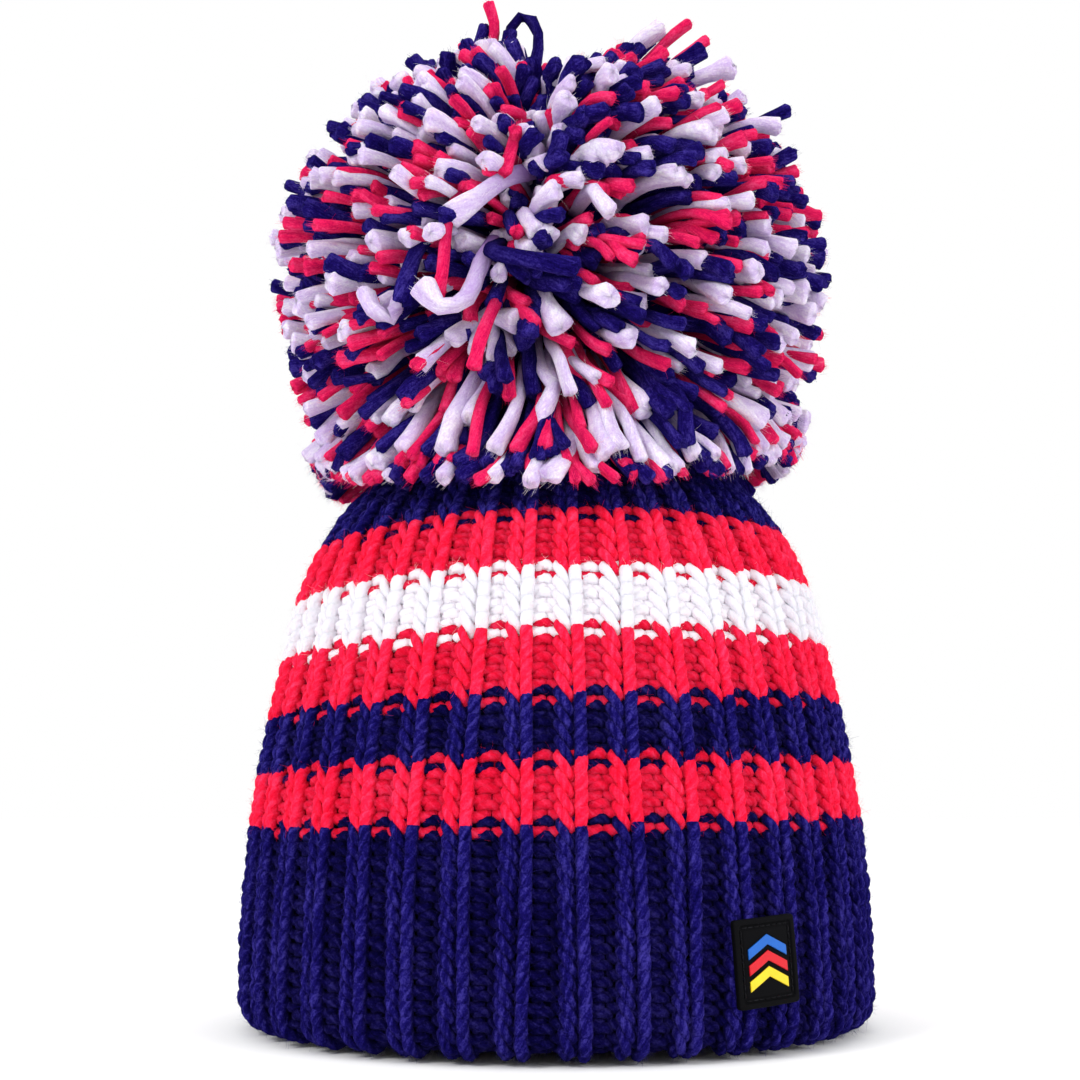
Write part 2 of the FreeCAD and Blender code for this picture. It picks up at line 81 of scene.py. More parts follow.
def new_object(name, points, faces, uvs, shade=None):
    """Mesh object from arrays: points (n, 3), faces (m, 3 or 4), uvs one pair per face corner.

    shade (n) says how open each point lies to the light, from 0 deep in the yarn to 1 on its face.
    """
    mesh = bpy.data.meshes.new(name)
    points = np.asarray(points, np.float32)
    faces = np.asarray(faces, np.int32)
    mesh.vertices.add(len(points))
    mesh.vertices.foreach_set("co", points.ravel())
    corners = faces.shape[1]
    mesh.loops.add(faces.size)
    mesh.loops.foreach_set("vertex_index", faces.ravel())
    mesh.polygons.add(len(faces))
    mesh.polygons.foreach_set("loop_start", np.arange(0, faces.size, corners, dtype=np.int32))
    mesh.polygons.foreach_set("use_smooth", np.full(len(faces), True))
    layer = mesh.uv_layers.new(name="UVMap")
    layer.data.foreach_set("uv", np.asarray(uvs, np.float32).ravel())
    if shade is not None:
        values = mesh.attributes.new("shade", "FLOAT", "POINT")
        values.data.foreach_set("value", np.asarray(shade, np.float32).ravel())
    mesh.update()
    mesh.validate()
    thing = bpy.data.objects.new(name, mesh)
    bpy.context.collection.objects.link(thing)
    return thing


def ring_quads(index):
    """Quads between the rows of a grid of point numbers whose columns run round."""
    a, b = index[:-1], index[1:]
    return np.stack([a, np.roll(a, -1, 1), np.roll(b, -1, 1), b], -1).reshape(-1, 4)


def round_axis(radius, angle, height):
    """Points at a radius, an angle from the front and a height; with a height of 0, directions."""
    return np.stack([radius * np.sin(angle), -radius * np.cos(angle), height], -1)


def unit(vectors):
    return vectors / np.maximum(np.linalg.norm(vectors, axis=-1, keepdims=True), 1e-12)


class Builder:
    """Collects the quads of tubes and ribbons into one mesh."""

    def __init__(self):
        self.points, self.faces, self.uvs, self.shade = [], [], [], []
        self.count = 0

    def add(self, points, faces, uvs, shade=1.0):
        points = points.reshape(-1, 3)
        self.points.append(points)
        self.faces.append(faces.reshape(-1, 4) + self.count)
        self.uvs.append(uvs.reshape(-1, 2))
        self.shade.append(np.broadcast_to(shade, (len(points),)) if np.ndim(shade) == 0 else shade.ravel())
        self.count += len(points)

    def object(self, name):
        return new_object(name, np.concatenate(self.points), np.concatenate(self.faces),
                          np.concatenate(self.uvs), shade=np.concatenate(self.shade))


def tube_frame(paths, up):
    """Directions along, across and out of each path."""
    tangent = unit(np.gradient(paths, axis=1))
    side = unit(np.cross(tangent, up))
    return tangent, side, np.cross(side, tangent)


def end_ring(values, last):
    """One more ring at an end of an array of rings."""
    return values[:, -1:] if last else values[:, :1]


def tubes(builder, paths, radii, up, sides, flatten=1.0, start_u=None, lobes=None, push=None,
          shade=None):
    """Adds a closed tube round each path.

    paths (n, m, 3), radii (n, m), up (n, m, 3) a steady direction across each path. lobes, push and
    shade (n, m, sides) scale each point's radius, move it along the tube and say how open it lies. The UV
    map runs in metres along the tube, and once round it.
    """
    count, rings = paths.shape[:2]
    tangent, side, lift = tube_frame(paths, up)
    lobes = np.ones((count, rings, sides)) if lobes is None else lobes
    push = np.zeros((count, rings, sides)) if push is None else push
    shade = np.ones((count, rings, sides)) if shade is None else shade
    # a nearly closed ring beyond each end rounds it off
    first = paths[:, :1] - tangent[:, :1] * radii[:, :1, None] * 0.35
    last = paths[:, -1:] + tangent[:, -1:] * radii[:, -1:, None] * 0.30
    paths = np.concatenate([first, paths, last], axis=1)
    radii = np.concatenate([radii[:, :1] * 0.02, radii, radii[:, -1:] * 0.02], axis=1)
    tangent, side, lift, lobes, push, shade = (
        np.concatenate([end_ring(values, False), values, end_ring(values, True)], axis=1)
        for values in (tangent, side, lift, lobes, push, shade))
    rings += 2
    turn = np.arange(sides) / sides * 2 * np.pi
    ring = (side[:, :, None, :] * np.cos(turn)[None, None, :, None]
            + lift[:, :, None, :] * np.sin(turn)[None, None, :, None] * flatten)
    points = (paths[:, :, None, :] + ring * (radii[:, :, None] * lobes)[..., None]
              + tangent[:, :, None, :] * push[..., None])
    index = np.arange(count * rings * sides).reshape(count, rings, sides)
    a = index[:, :-1, :]
    b = index[:, 1:, :]
    faces = np.stack([a, np.roll(a, -1, 2), np.roll(b, -1, 2), b], axis=-1)
    along = np.zeros((count, rings))
    along[:, 1:] = np.cumsum(np.linalg.norm(np.diff(paths, axis=1), axis=-1), axis=1)
    if start_u is not None:
        along += start_u[:, None]
    v0 = np.broadcast_to((np.arange(sides) / sides)[None, None, :], a.shape)
    v1 = v0 + 1 / sides
    u0 = np.broadcast_to(along[:, :-1, None], a.shape)
    u1 = np.broadcast_to(along[:, 1:, None], a.shape)
    uvs = np.stack([np.stack([u0, v0], -1), np.stack([u0, v1], -1),
                    np.stack([u1, v1], -1), np.stack([u1, v0], -1)], axis=-2)
    builder.add(points, faces, uvs, shade)


def ribbons(builder, spine, across, half, shade):
    """Adds thin ribbons along spines (n, m, 3); across (n, 3) or (n, m, 3) is their width's direction."""
    count, rings = spine.shape[:2]
    across = across[:, None, :] if across.ndim == 2 else across
    taper = np.linspace(1, 0.3, rings)[None, :, None]
    left = spine - across * half * taper
    right = spine + across * half * taper
    points = np.stack([left, right], axis=2)
    index = np.arange(count * rings * 2).reshape(count, rings, 2)
    faces = np.stack([index[:, :-1, 0], index[:, :-1, 1], index[:, 1:, 1], index[:, 1:, 0]], axis=-1)
    uvs = np.zeros((count, rings - 1, 4, 2))
    uvs[..., 0] = (rng.random(count) * 3.0)[:, None, None]
    uvs[..., 1] = rng.random(count)[:, None, None] + np.array([0.0, 0.02, 0.02, 0.0])
    open_to_light = np.broadcast_to(np.asarray(shade).reshape(-1, 1, 1), (count, rings, 2))
    builder.add(points, faces, uvs, open_to_light)


def fibres(builder, roots, directions, lengths, width, bend, shade=1.0):
    """Adds loose fibres: thin bent slivers from each root."""
    count = len(roots)
    directions = unit(directions)
    sideways = unit(np.cross(directions, rng.normal(size=(count, 3))))
    curl = unit(np.cross(directions, sideways) + rng.normal(size=(count, 3)) * 0.4)
    steps = np.array([0.0, 0.5, 1.0])
    spine = (roots[:, None, :] + directions[:, None, :] * (lengths[:, None, None] * steps[None, :, None])
             + curl[:, None, :] * (bend * lengths[:, None, None] * steps[None, :, None] ** 2))
    ribbons(builder, spine, sideways, width, shade)


def smooth_noise(points, scale, seed):
    """Cheap smooth noise in -1..1 at points, a sum of a few waves."""
    local = np.random.default_rng(seed)
    total = np.zeros(points.shape[:-1])
    for _ in range(6):
        wave = unit(local.normal(size=3)) / scale * local.uniform(0.6, 1.6)
        total += np.sin(points @ wave * 2 * np.pi + local.uniform(0, 2 * np.pi))
    return total / 3.5


# ---------------------------------------------------------------- the knit's surface

YARN = 1.56 * MM          # radius of the knitting yarn
WHITE_YARN = 1.07         # the white yarn is this much fuller
LOOP_DEPTH = 2.48 * MM    # how far a loop's legs stand out of the fabric's middle
RIBS = 38
STITCHES = RIBS * 2
FULL_STITCH = 5.2 * MM    # narrower stitches than this are flatter too
CROWN_RIBS = 42 * MM      # inside this radius the crown has half as many ribs
HEM_PITCH = 4.06 * MM     # height of one course
CROWN_PITCH = 4.2 * MM
STRIPE_COURSES = 4
LOOP_RISE = 0.875         # a loop's height to each side of its course's middle, in courses
COURSE_SHIFT = 0.375      # how far a loop reaches above its own course, in courses
SKIN = YARN + LOOP_DEPTH  # outer face of the knit to the fabric's middle
RIB_PHASE = math.radians(-1.8)
OPENING_HEM = 0.20        # how far a loop's legs open out towards its head, in stitch widths
OPENING_STRIPES = 0.245
PURL_OPENING = 0.84       # share of that in the stitches that stand back
HOOK = 0.045              # how much the legs hook back at their two ends, in stitch widths
LEAN_HEM = 0.30           # how far loops lean to one side, as the yarn's twist pulls them
LEAN_STRIPES = 0.24
PURL_LEAN = 0.55          # share of that in the stitches that stand back
LEG_SWELL = 0.13          # how much fuller the leg that lies straight is than the middle
SPREAD = 0.050            # how far a rib's two legs stand apart
SPIRAL = 0.30             # how far a course climbs in one round, in courses
SEAM_WIDTH = math.radians(1.5)
SEAM_DIP = 1.3 * MM
LOOSE_FIBRES = 5200       # on each course
LOOSE_FIBRE_WIDTH = 0.036 * MM


def arc_points(centre, radius, first, last, steps):
    """Points of an arc between two angles in degrees."""
    turn = np.radians(np.linspace(first, last, steps))
    return np.stack([centre[0] + radius * np.cos(turn), centre[1] + radius * np.sin(turn)], -1)


def middle_line():
    """The fabric's middle, from the turned-up edge's top, round the bottom and up to the crown's hole.

    Returns the distance along it, and the radius and height there, in even steps.
    """
    turned_top = 13 * MM
    fold_small = 1.5 * MM
    fold_large = 9 * MM - SKIN
    wall_centre = HEM_RADIUS - WALL_BEND
    wall_radius = WALL_BEND - SKIN
    fold_height = SKIN + fold_large
    low = math.asin((fold_height - WIDEST_HEIGHT) / wall_radius)
    outer = wall_centre + wall_radius * math.cos(low)
    corner = outer - fold_large
    dome_radius = DOME_RADIUS - SKIN
    # the dome's arc begins where the wall's stops
    start = math.asin((DOME_START - DOME_HEIGHT) / dome_radius)
    high = math.asin((DOME_START - WIDEST_HEIGHT) / wall_radius)
    last = math.acos(CROWN_HOLE / dome_radius)
    runs = [
        np.array([[corner - fold_small, turned_top], [corner - fold_small, SKIN + fold_small]]),
        arc_points((corner, SKIN + fold_small), fold_small, 180, 270, 12),
        arc_points((corner, fold_height), fold_large, 270, 360, 24),
        arc_points((wall_centre, WIDEST_HEIGHT), wall_radius, math.degrees(low), math.degrees(high), 200),
        arc_points((0, DOME_HEIGHT), dome_radius, math.degrees(start), math.degrees(last), 200),
    ]
    line = np.concatenate(runs)
    gap = np.linalg.norm(np.diff(line, axis=0), axis=1)
    line = line[np.concatenate([[True], gap > 1e-6])]
    # even steps, then a light smoothing where the arcs meet
    length = np.concatenate([[0], np.cumsum(np.linalg.norm(np.diff(line, axis=0), axis=1))])
    even = np.linspace(0, length[-1], 1400)
    radius = np.interp(even, length, line[:, 0])
    height = np.interp(even, length, line[:, 1])
    kernel = np.hanning(15)
    kernel /= kernel.sum()
    padded = [np.pad(values, 7, mode="reflect", reflect_type="odd") for values in (radius, height)]
    radius, height = (np.convolve(values, kernel, mode="valid") for values in padded)
    return even, radius, height


LINE_U, LINE_R, LINE_Z = middle_line()
SLOPE_R = np.gradient(LINE_R, LINE_U)
SLOPE_Z = np.gradient(LINE_Z, LINE_U)
OUTSIDE = int(np.argmin(LINE_Z)) + 40    # past the bottom, where the wall begins to rise


def line_at_height(height):
    """Distance along the middle line where the outer wall reaches a height."""
    return float(np.interp(height, LINE_Z[OUTSIDE:], LINE_U[OUTSIDE:]))


BOTTOM_U = float(LINE_U[int(np.argmin(LINE_Z))])
TOP_U = float(LINE_U[-1])


SLUMP = 4.5 * MM          # how far the stripes have slid down on the wearer's right
SLUMP_STEPS = [line_at_height(height * MM) for height in (30, 92, 150, 174)]


def on_surface(u, angle, depth):
    """Points at distances along the line, angles from the front and depths out of the fabric's middle."""
    slid = np.interp(u, SLUMP_STEPS, [0, 1, 1, 0]) * np.clip(-np.sin(angle), 0, 1) ** 1.5
    u = u - SLUMP * slid
    radius = np.interp(u, LINE_U, LINE_R)
    height = np.interp(u, LINE_U, LINE_Z)
    slope_r = np.interp(u, LINE_U, SLOPE_R)
    slope_z = np.interp(u, LINE_U, SLOPE_Z)
    scale = np.maximum(np.hypot(slope_r, slope_z), 1e-9)
    normal_r = slope_z / scale
    normal_z = -slope_r / scale
    points = round_axis(radius + depth * normal_r, angle, height + depth * normal_z)
    return points, round_axis(normal_r, angle, normal_z)


def course_rows():
    """Every course as (middle, pitch, colour node), from the turned-up edge to the crown's hole."""
    hem_length = line_at_height(hem_high[2]) - COURSE_SHIFT * HEM_PITCH
    count = round(hem_length / HEM_PITCH)
    pitch = hem_length / count
    rows = [((number + 0.5) * pitch, pitch, "hem_band") for number in range(count)]

    def add_rows(node, bottom, top, count):
        pitch = (top - bottom) / count
        rows.extend((bottom + (number + 0.5 - COURSE_SHIFT) * pitch, pitch, node) for number in range(count))

    for node in ("stripe_coral_lower", "stripe_navy", "stripe_coral_middle", "stripe_white",
                 "stripe_coral_upper"):
        low, high = corner_box(node)
        add_rows(node, line_at_height(low[2]), line_at_height(high[2]), STRIPE_COURSES)
    bottom = line_at_height(crown_low[2])
    add_rows("crown", bottom, TOP_U, int((TOP_U - bottom) / CROWN_PITCH))
    return rows


def course_path(middle, pitch, ribs, per_stitch, row):
    """Line of yarn for one course of rib: loops that stand forward and back in turn.

    Returns its points, the fabric's normals there, its depth out of the fabric's middle, and a factor for
    its thickness. t counts stitches along it, and s is the place within a stitch.
    """
    stitches = ribs * 2
    step = 2 * np.pi / stitches
    t = np.linspace(0, stitches, stitches * per_stitch + 1)
    s = t % 1.0
    stitch = np.minimum(np.floor(t).astype(int), stitches - 1)
    local = np.random.default_rng(500 + row)
    jitter = local.normal(size=(4, stitches + 1))
    tall, wide, deep, lift = (np.interp(t, np.arange(stitches + 1) + 0.5, values) for values in jitter)
    forward = np.where(stitch % 2 == 0, 1.0, -1.0)
    width = float(np.interp(middle, LINE_U, LINE_R)) * step
    rise = LOOP_RISE * pitch * (1 + 0.035 * tall)
    y = -rise * np.cos(2 * np.pi * s)
    # the hem is knitted tighter than the stripes, so its loops lean more
    share = np.clip((middle - line_at_height(hem_high[2] - 12 * MM)) / (20 * MM), 0, 1)
    lean = LEAN_HEM + (LEAN_STRIPES - LEAN_HEM) * share
    opening = OPENING_HEM + (OPENING_STRIPES - OPENING_HEM) * share
    lean_x = lean * y * np.where(forward > 0, 1.0, PURL_LEAN)
    opening = opening * np.where(forward > 0, 1.0, PURL_OPENING)
    loop = ((opening + 0.016 * wide) * np.sin(4 * np.pi * s) + HOOK * np.sin(8 * np.pi * s)
            - forward * SPREAD * np.sin(2 * np.pi * s))
    x = width * (t + loop) - lean_x
    inside = np.clip((BOTTOM_U + 1 * MM - middle) / (4 * MM), 0, 1)
    depth = LOOP_DEPTH * (1 - 0.7 * inside) * min(1.0, width / FULL_STITCH)
    w = forward * depth * (1 + 0.06 * deep) * (1 - np.cos(4 * np.pi * s)) / 2
    angle = x / width * step + np.pi + RIB_PHASE - 1.5 * step - np.pi % (2 * step)
    back = np.abs(angle % (2 * np.pi) - np.pi)
    w = w - SEAM_DIP * np.exp(-(back / SEAM_WIDTH) ** 2)
    wave = 0.28 * MM * np.sin(angle * 3 + row * 0.7) + 0.22 * MM * np.sin(angle * 7 + row * 0.31)
    spiral = SPIRAL * pitch * (t / stitches - 0.5)
    u = middle + y + 0.10 * MM * lift + wave * min(1.0, width / (6 * MM)) + spiral
    wander = 0.45 * MM * np.sin(u / (31 * MM) + angle * 9) + 0.35 * MM * np.sin(u / (17 * MM) + angle * 23)
    angle = angle + wander / np.maximum(np.interp(u, LINE_U, LINE_R), 30 * MM)
    points, normals = on_surface(np.clip(u, 0, TOP_U), angle, w)
    return points, normals, w, 1 - LEG_SWELL * np.sin(2 * np.pi * s) * forward


def knit_courses(builder, fuzz, rows, first_row):
    """Adds courses to one builder, and their loose fibres to another."""
    for number, (middle, pitch, node) in enumerate(rows):
        row = first_row + number
        radius = float(np.interp(middle, LINE_U, LINE_R))
        hidden = middle < BOTTOM_U - 3 * MM or middle > line_at_height(crown_low[2] + 22 * MM)
        ribs = RIBS if radius > CROWN_RIBS else RIBS // 2
        per_stitch = 16 if hidden else 24
        sides = 6 if hidden else 7
        points, normals, depth, swell = course_path(middle, pitch, ribs, per_stitch, row)
        count = len(points)
        thick = YARN * swell * (1 + 0.06 * smooth_noise(points, 9 * MM, 31 + row)
                        + 0.035 * smooth_noise(points, 2.5 * MM, 57 + row))
        if node == "stripe_white":
            thick = thick * WHITE_YARN
        if radius < 30 * MM:
            thick = thick * (0.55 + 0.45 * radius / (30 * MM))
        turn = np.arange(sides) / sides * 2 * np.pi
        reach = depth[:, None] + thick[:, None] * np.sin(turn)[None]
        # painted shade: dark between the loops, full colour on both faces of the fabric
        shade = np.clip(np.maximum((reach / SKIN + 0.39) / 1.27, (-reach / SKIN - 0.45) / 0.5), 0, 1)
        tubes(builder, points[None], thick[None], normals[None], sides, start_u=np.array([row * 0.37]),
              shade=shade[None])
        if hidden:
            continue
        loose = LOOSE_FIBRES
        picks = rng.integers(1, count - 1, loose)
        tangent = unit(points[picks + 1] - points[picks - 1])
        side = np.cross(tangent, normals[picks])
        turn = rng.uniform(-1.3, 1.3, loose)
        outward = normals[picks] * np.cos(turn)[:, None] + side * np.sin(turn)[:, None]
        roots = points[picks] + outward * (thick[picks] * 0.97)[:, None]
        heading = (tangent * rng.choice([-1, 1], loose)[:, None] * rng.uniform(0.5, 1.3, loose)[:, None]
                   + outward * rng.uniform(0.02, 0.55, loose)[:, None] + rng.normal(size=(loose, 3)) * 0.3)
        # painted shade: fibres rooted deeper in the fabric take a darker colour
        loose_fibre_shade = np.clip((depth[picks] + 0.75 * SKIN) / (1.3 * SKIN), 0, 1)
        fibres(fuzz, roots, heading, rng.uniform(0.8, 3.2, loose) * MM, LOOSE_FIBRE_WIDTH, 0.4, shade=loose_fibre_shade)


# ---------------------------------------------------------------- materials


class Shading:
    """One material's nodes: each method adds a node and returns its output."""

    def __init__(self, name, **sockets):
        self.material = bpy.data.materials.new(name)
        self.material.use_nodes = True
        self.nodes = self.material.node_tree.nodes
        self.link = self.material.node_tree.links.new
        self.shader = next(node for node in self.nodes if node.type == "BSDF_PRINCIPLED")
        self.set(**sockets)
        self.texture = self.nodes.new("ShaderNodeTexCoord").outputs

    def set(self, **sockets):
        for name, value in sockets.items():
            self.shader.inputs[name.replace("_", " ")].default_value = value

    def math(self, kind, *sources):
        node = self.nodes.new("ShaderNodeMath")
        node.operation = kind
        for socket, source in zip(node.inputs, sources):
            if isinstance(source, (int, float)):
                socket.default_value = source
            else:
                self.link(source, socket)
        return node.outputs[0]

    def weighted(self, total, *parts):
        """Adds each part times its weight to a total."""
        for part, weight in parts:
            total = self.math("MULTIPLY_ADD", part, weight, total)
        return total

    def ramp(self, factor, *stops):
        node = self.nodes.new("ShaderNodeValToRGB")
        while len(node.color_ramp.elements) < len(stops):
            node.color_ramp.elements.new(0.5)
        for element, (place, colour) in zip(node.color_ramp.elements, stops):
            element.position = place
            element.color = (*colour, 1)
        self.link(factor, node.inputs["Fac"])
        return node.outputs["Color"]

    def noise(self, scale, detail, roughness, vector=None):
        node = self.nodes.new("ShaderNodeTexNoise")
        for name, value in (("Scale", scale), ("Detail", detail), ("Roughness", roughness)):
            node.inputs[name].default_value = value
        self.link(vector or self.texture["Object"], node.inputs["Vector"])
        return node.outputs["Fac"]

    def finish(self, colour, height, strength, distance):
        """Gives the shader its colour and relief."""
        self.link(colour, self.shader.inputs["Base Color"])
        relief = self.nodes.new("ShaderNodeBump")
        relief.inputs["Strength"].default_value = strength
        relief.inputs["Distance"].default_value = distance
        self.link(height, relief.inputs["Height"])
        self.link(relief.outputs[0], self.shader.inputs["Normal"])
        return self.material


def yarn_material(name, deep, dark, middle, light, sheen, twist=9 * MM, plies=3, ply_relief=0.3,
                  relief_depth=0.6 * MM, subsurface=0.0, streaks=9.0, falloff=1.0):
    """Spun yarn: plies that wind round it, fine fibres along them, uneven dye, and painted shade in the
    grooves between plies and between strands.

    deep is the painted shade colour between strands and loops, and dark, middle and light are those of the
    yarn's own face.
    """
    paint = Shading(name, Roughness=0.95, Specular_IOR_Level=0.012, Sheen_Weight=0.03, Sheen_Roughness=0.5,
                    Sheen_Tint=(*sheen, 1))
    if subsurface:
        paint.set(Subsurface_Weight=subsurface, Subsurface_Radius=(1.0, 0.6, 0.6), Subsurface_Scale=2.5 * MM)
    split = paint.nodes.new("ShaderNodeSeparateXYZ")
    paint.link(paint.texture["UV"], split.inputs[0])
    along, around = split.outputs[0], split.outputs[1]
    phase = paint.math("ADD", around, paint.math("MULTIPLY", along, 1 / twist))
    turns = paint.math("MULTIPLY", phase, 2 * math.pi * plies)
    ply = paint.math("MULTIPLY_ADD", paint.math("SINE", turns), 0.5, 0.5)
    # fibres lie along the plies: noise stretched along the winding
    stretched = paint.nodes.new("ShaderNodeCombineXYZ")
    for axis, (source, scale) in enumerate(((along, 330.0), (phase, streaks), (along, 70.0))):
        paint.link(paint.math("MULTIPLY", source, scale), stretched.inputs[axis])
    strands = paint.noise(1.0, 5.0, 0.75, stretched.outputs[0])
    patchy = paint.noise(420.0, 3.0, 0.6)
    broad = paint.noise(60.0, 2.0, 0.5)
    felted = paint.noise(1700.0, 4.0, 0.7)
    # colour: uneven dye from the noises, with the plies' crests a little lighter than the grooves between
    # them as painted shade
    tone = paint.weighted(paint.math("MULTIPLY", ply, 0.10),
                          (strands, 0.60), (patchy, 0.25), (broad, 0.20), (felted, 0.45))
    # painted shade: where the shade attribute is low the colour mixes toward deep
    open_to_light = paint.nodes.new("ShaderNodeAttribute")
    open_to_light.attribute_name = "shade"
    mix = paint.nodes.new("ShaderNodeMix")
    mix.data_type = "RGBA"
    paint.link(paint.math("POWER", open_to_light.outputs["Fac"], falloff), mix.inputs["Factor"])
    mix.inputs["A"].default_value = (*deep, 1)
    paint.link(paint.ramp(tone, (0.65, dark), (0.80, middle), (0.96, light)), mix.inputs["B"])
    height = paint.weighted(paint.math("MULTIPLY", ply, ply_relief),
                            (strands, 1.0), (patchy, 0.7), (felted, 0.6))
    return paint.finish(mix.outputs["Result"], height, 0.9, relief_depth)


def plain_material(name, colour, roughness, grain_scale, grain_depth, spread, specular, sheen=0.0):
    """Surface with a fine grain in colour and relief."""
    paint = Shading(name, Roughness=roughness, Specular_IOR_Level=specular, Sheen_Weight=sheen)
    grain = paint.noise(grain_scale, 5.0, 0.65)
    broad = paint.noise(grain_scale / 12, 2.0, 0.5)
    mixed = paint.weighted(paint.math("MULTIPLY", grain, 0.6), (broad, 0.4))
    dark = tuple(channel * (1 - spread) for channel in colour)
    light = tuple(min(1.0, channel * (1 + spread)) for channel in colour)
    return paint.finish(paint.ramp(mixed, (0.3, dark), (0.7, light)), grain, 0.5, grain_depth)


def satin_material(name, colour):
    """Ribbon: fine crossing threads with a silky shine."""
    paint = Shading(name, Roughness=0.35, Sheen_Weight=0.3)
    waves = []
    for direction, scale in (("X", 900.0), ("Z", 420.0)):
        wave = paint.nodes.new("ShaderNodeTexWave")
        wave.bands_direction = direction
        wave.inputs["Scale"].default_value = scale
        wave.inputs["Distortion"].default_value = 0.6
        paint.link(paint.texture["Object"], wave.inputs["Vector"])
        waves.append(wave.outputs["Fac"])
    weave = paint.math("MULTIPLY", *waves)
    shade = tuple(channel * 0.82 for channel in colour)
    return paint.finish(paint.ramp(weave, (0.0, shade), (0.8, colour)), weave, 0.35, 0.05 * MM)


def painted_highlight_of(colours):
    """Painted highlight: loose fibres catch the light more than the yarn that they come from, so their
    colours are made lighter.
    """
    lighter = {key: tuple(min(1.0, value * 1.45 + 0.004) for value in colours[key])
               for key in ("dark", "middle", "light")}
    return dict(colours, **lighter)


# deep: the painted shade colour deep between loops and strands; the white knit's deep is a painted light,
# paler than its face, offsetting the real shadow between its loops
NAVY = dict(deep=(0.0002, 0.0001, 0.006), dark=(0.0016, 0.0010, 0.038), middle=(0.0080, 0.0052, 0.112),
            light=(0.046, 0.036, 0.275), sheen=(0.33, 0.26, 1.0), falloff=1.6)
CORAL = dict(deep=(0.22, 0.0004, 0.010), dark=(0.80, 0.004, 0.028), middle=(0.98, 0.014, 0.062),
             light=(1.0, 0.05, 0.14), sheen=(1.0, 0.45, 0.55), falloff=0.6)
WHITE = dict(deep=(1.0, 0.93, 1.0), dark=(0.76, 0.73, 0.82), middle=(0.80, 0.775, 0.85),
             light=(0.84, 0.82, 0.88), sheen=(1, 1, 1), falloff=1.6)
POM_NAVY = dict(NAVY, deep=(0.0022, 0.0003, 0.032), dark=(0.0026, 0.0009, 0.042),
                middle=(0.0110, 0.0050, 0.120), light=(0.054, 0.036, 0.285), falloff=1.0)
POM_CORAL = dict(CORAL, deep=(0.12, 0.0004, 0.034), dark=(0.62, 0.005, 0.080),
                 middle=(0.90, 0.016, 0.115), light=(0.98, 0.07, 0.22), falloff=1.0)
POM_WHITE = dict(deep=(0.28, 0.14, 0.44), dark=(0.60, 0.44, 0.78), middle=(0.75, 0.64, 0.87),
                 light=(0.93, 0.90, 0.97), sheen=(1, 1, 1))
BLACK = dict(deep=(0.002, 0.002, 0.003), dark=(0.003, 0.003, 0.004), middle=(0.008, 0.008, 0.009),
             light=(0.02, 0.02, 0.024), sheen=(0.4, 0.4, 0.45))
CUT_YARN = dict(twist=60 * MM, plies=2, ply_relief=0.1, relief_depth=0.7 * MM, streaks=24.0)
MATERIALS = {}
for slot, colours, spinning in (
        ("navy_knit", NAVY, {}), ("coral_knit", CORAL, {}), ("white_knit", WHITE, dict(subsurface=0.2)),
        ("pom_navy", POM_NAVY, CUT_YARN), ("pom_coral", POM_CORAL, CUT_YARN),
        ("pom_white", POM_WHITE, dict(CUT_YARN, subsurface=0.1))):
    MATERIALS[slot] = yarn_material(slot, **colours, **spinning)
    # the loose fibres' material: a lighter copy of the yarn's, a painted highlight
    MATERIALS[f"{slot}_fuzz"] = yarn_material(f"{slot}_fuzz", **painted_highlight_of(colours))
for slot, colours, spinning in (
        ("tie_cord", NAVY, dict(ply_relief=0.9)),
        ("navy_thread", NAVY, dict(twist=1.6 * MM, plies=2, ply_relief=0.9, relief_depth=0.15 * MM)),
        ("black_thread", BLACK, dict(twist=1.2 * MM, plies=2, relief_depth=0.1 * MM))):
    MATERIALS[slot] = yarn_material(slot, **colours, **spinning)
# colour, roughness, scale and depth of the grain, spread of its tones, gloss
for slot, *look in (
        ("fleece", (0.009, 0.007, 0.055), 0.95, 1500.0, 0.5 * MM, 0.7, 0.04, 0.05),
        ("patch_rubber", (0.0012, 0.0012, 0.002), 0.75, 2600.0, 0.03 * MM, 0.3, 0.07),
        ("patch_blue", (0.0, 0.105, 0.48), 0.45, 2600.0, 0.02 * MM, 0.12, 0.4),
        ("patch_red", (0.60, 0.0, 0.010), 0.45, 2600.0, 0.02 * MM, 0.12, 0.4),
        ("patch_yellow", (0.80, 0.60, 0.012), 0.45, 2600.0, 0.02 * MM, 0.10, 0.4)):
    MATERIALS[slot] = plain_material(slot, *look)
MATERIALS["label_satin"] = satin_material("label_satin", (0.86, 0.86, 0.84))


def dress(piece, slot, body, *nodes, material=None):
    """Gives a piece the material of its slot, sets it under its body, and hides the CAD nodes that it stands
    for.
    """
    piece.data.materials.append(MATERIALS[material or slot])
    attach(piece, body)
    if nodes:
        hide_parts(*nodes)
    return piece


# ---------------------------------------------------------------- the knitted hat


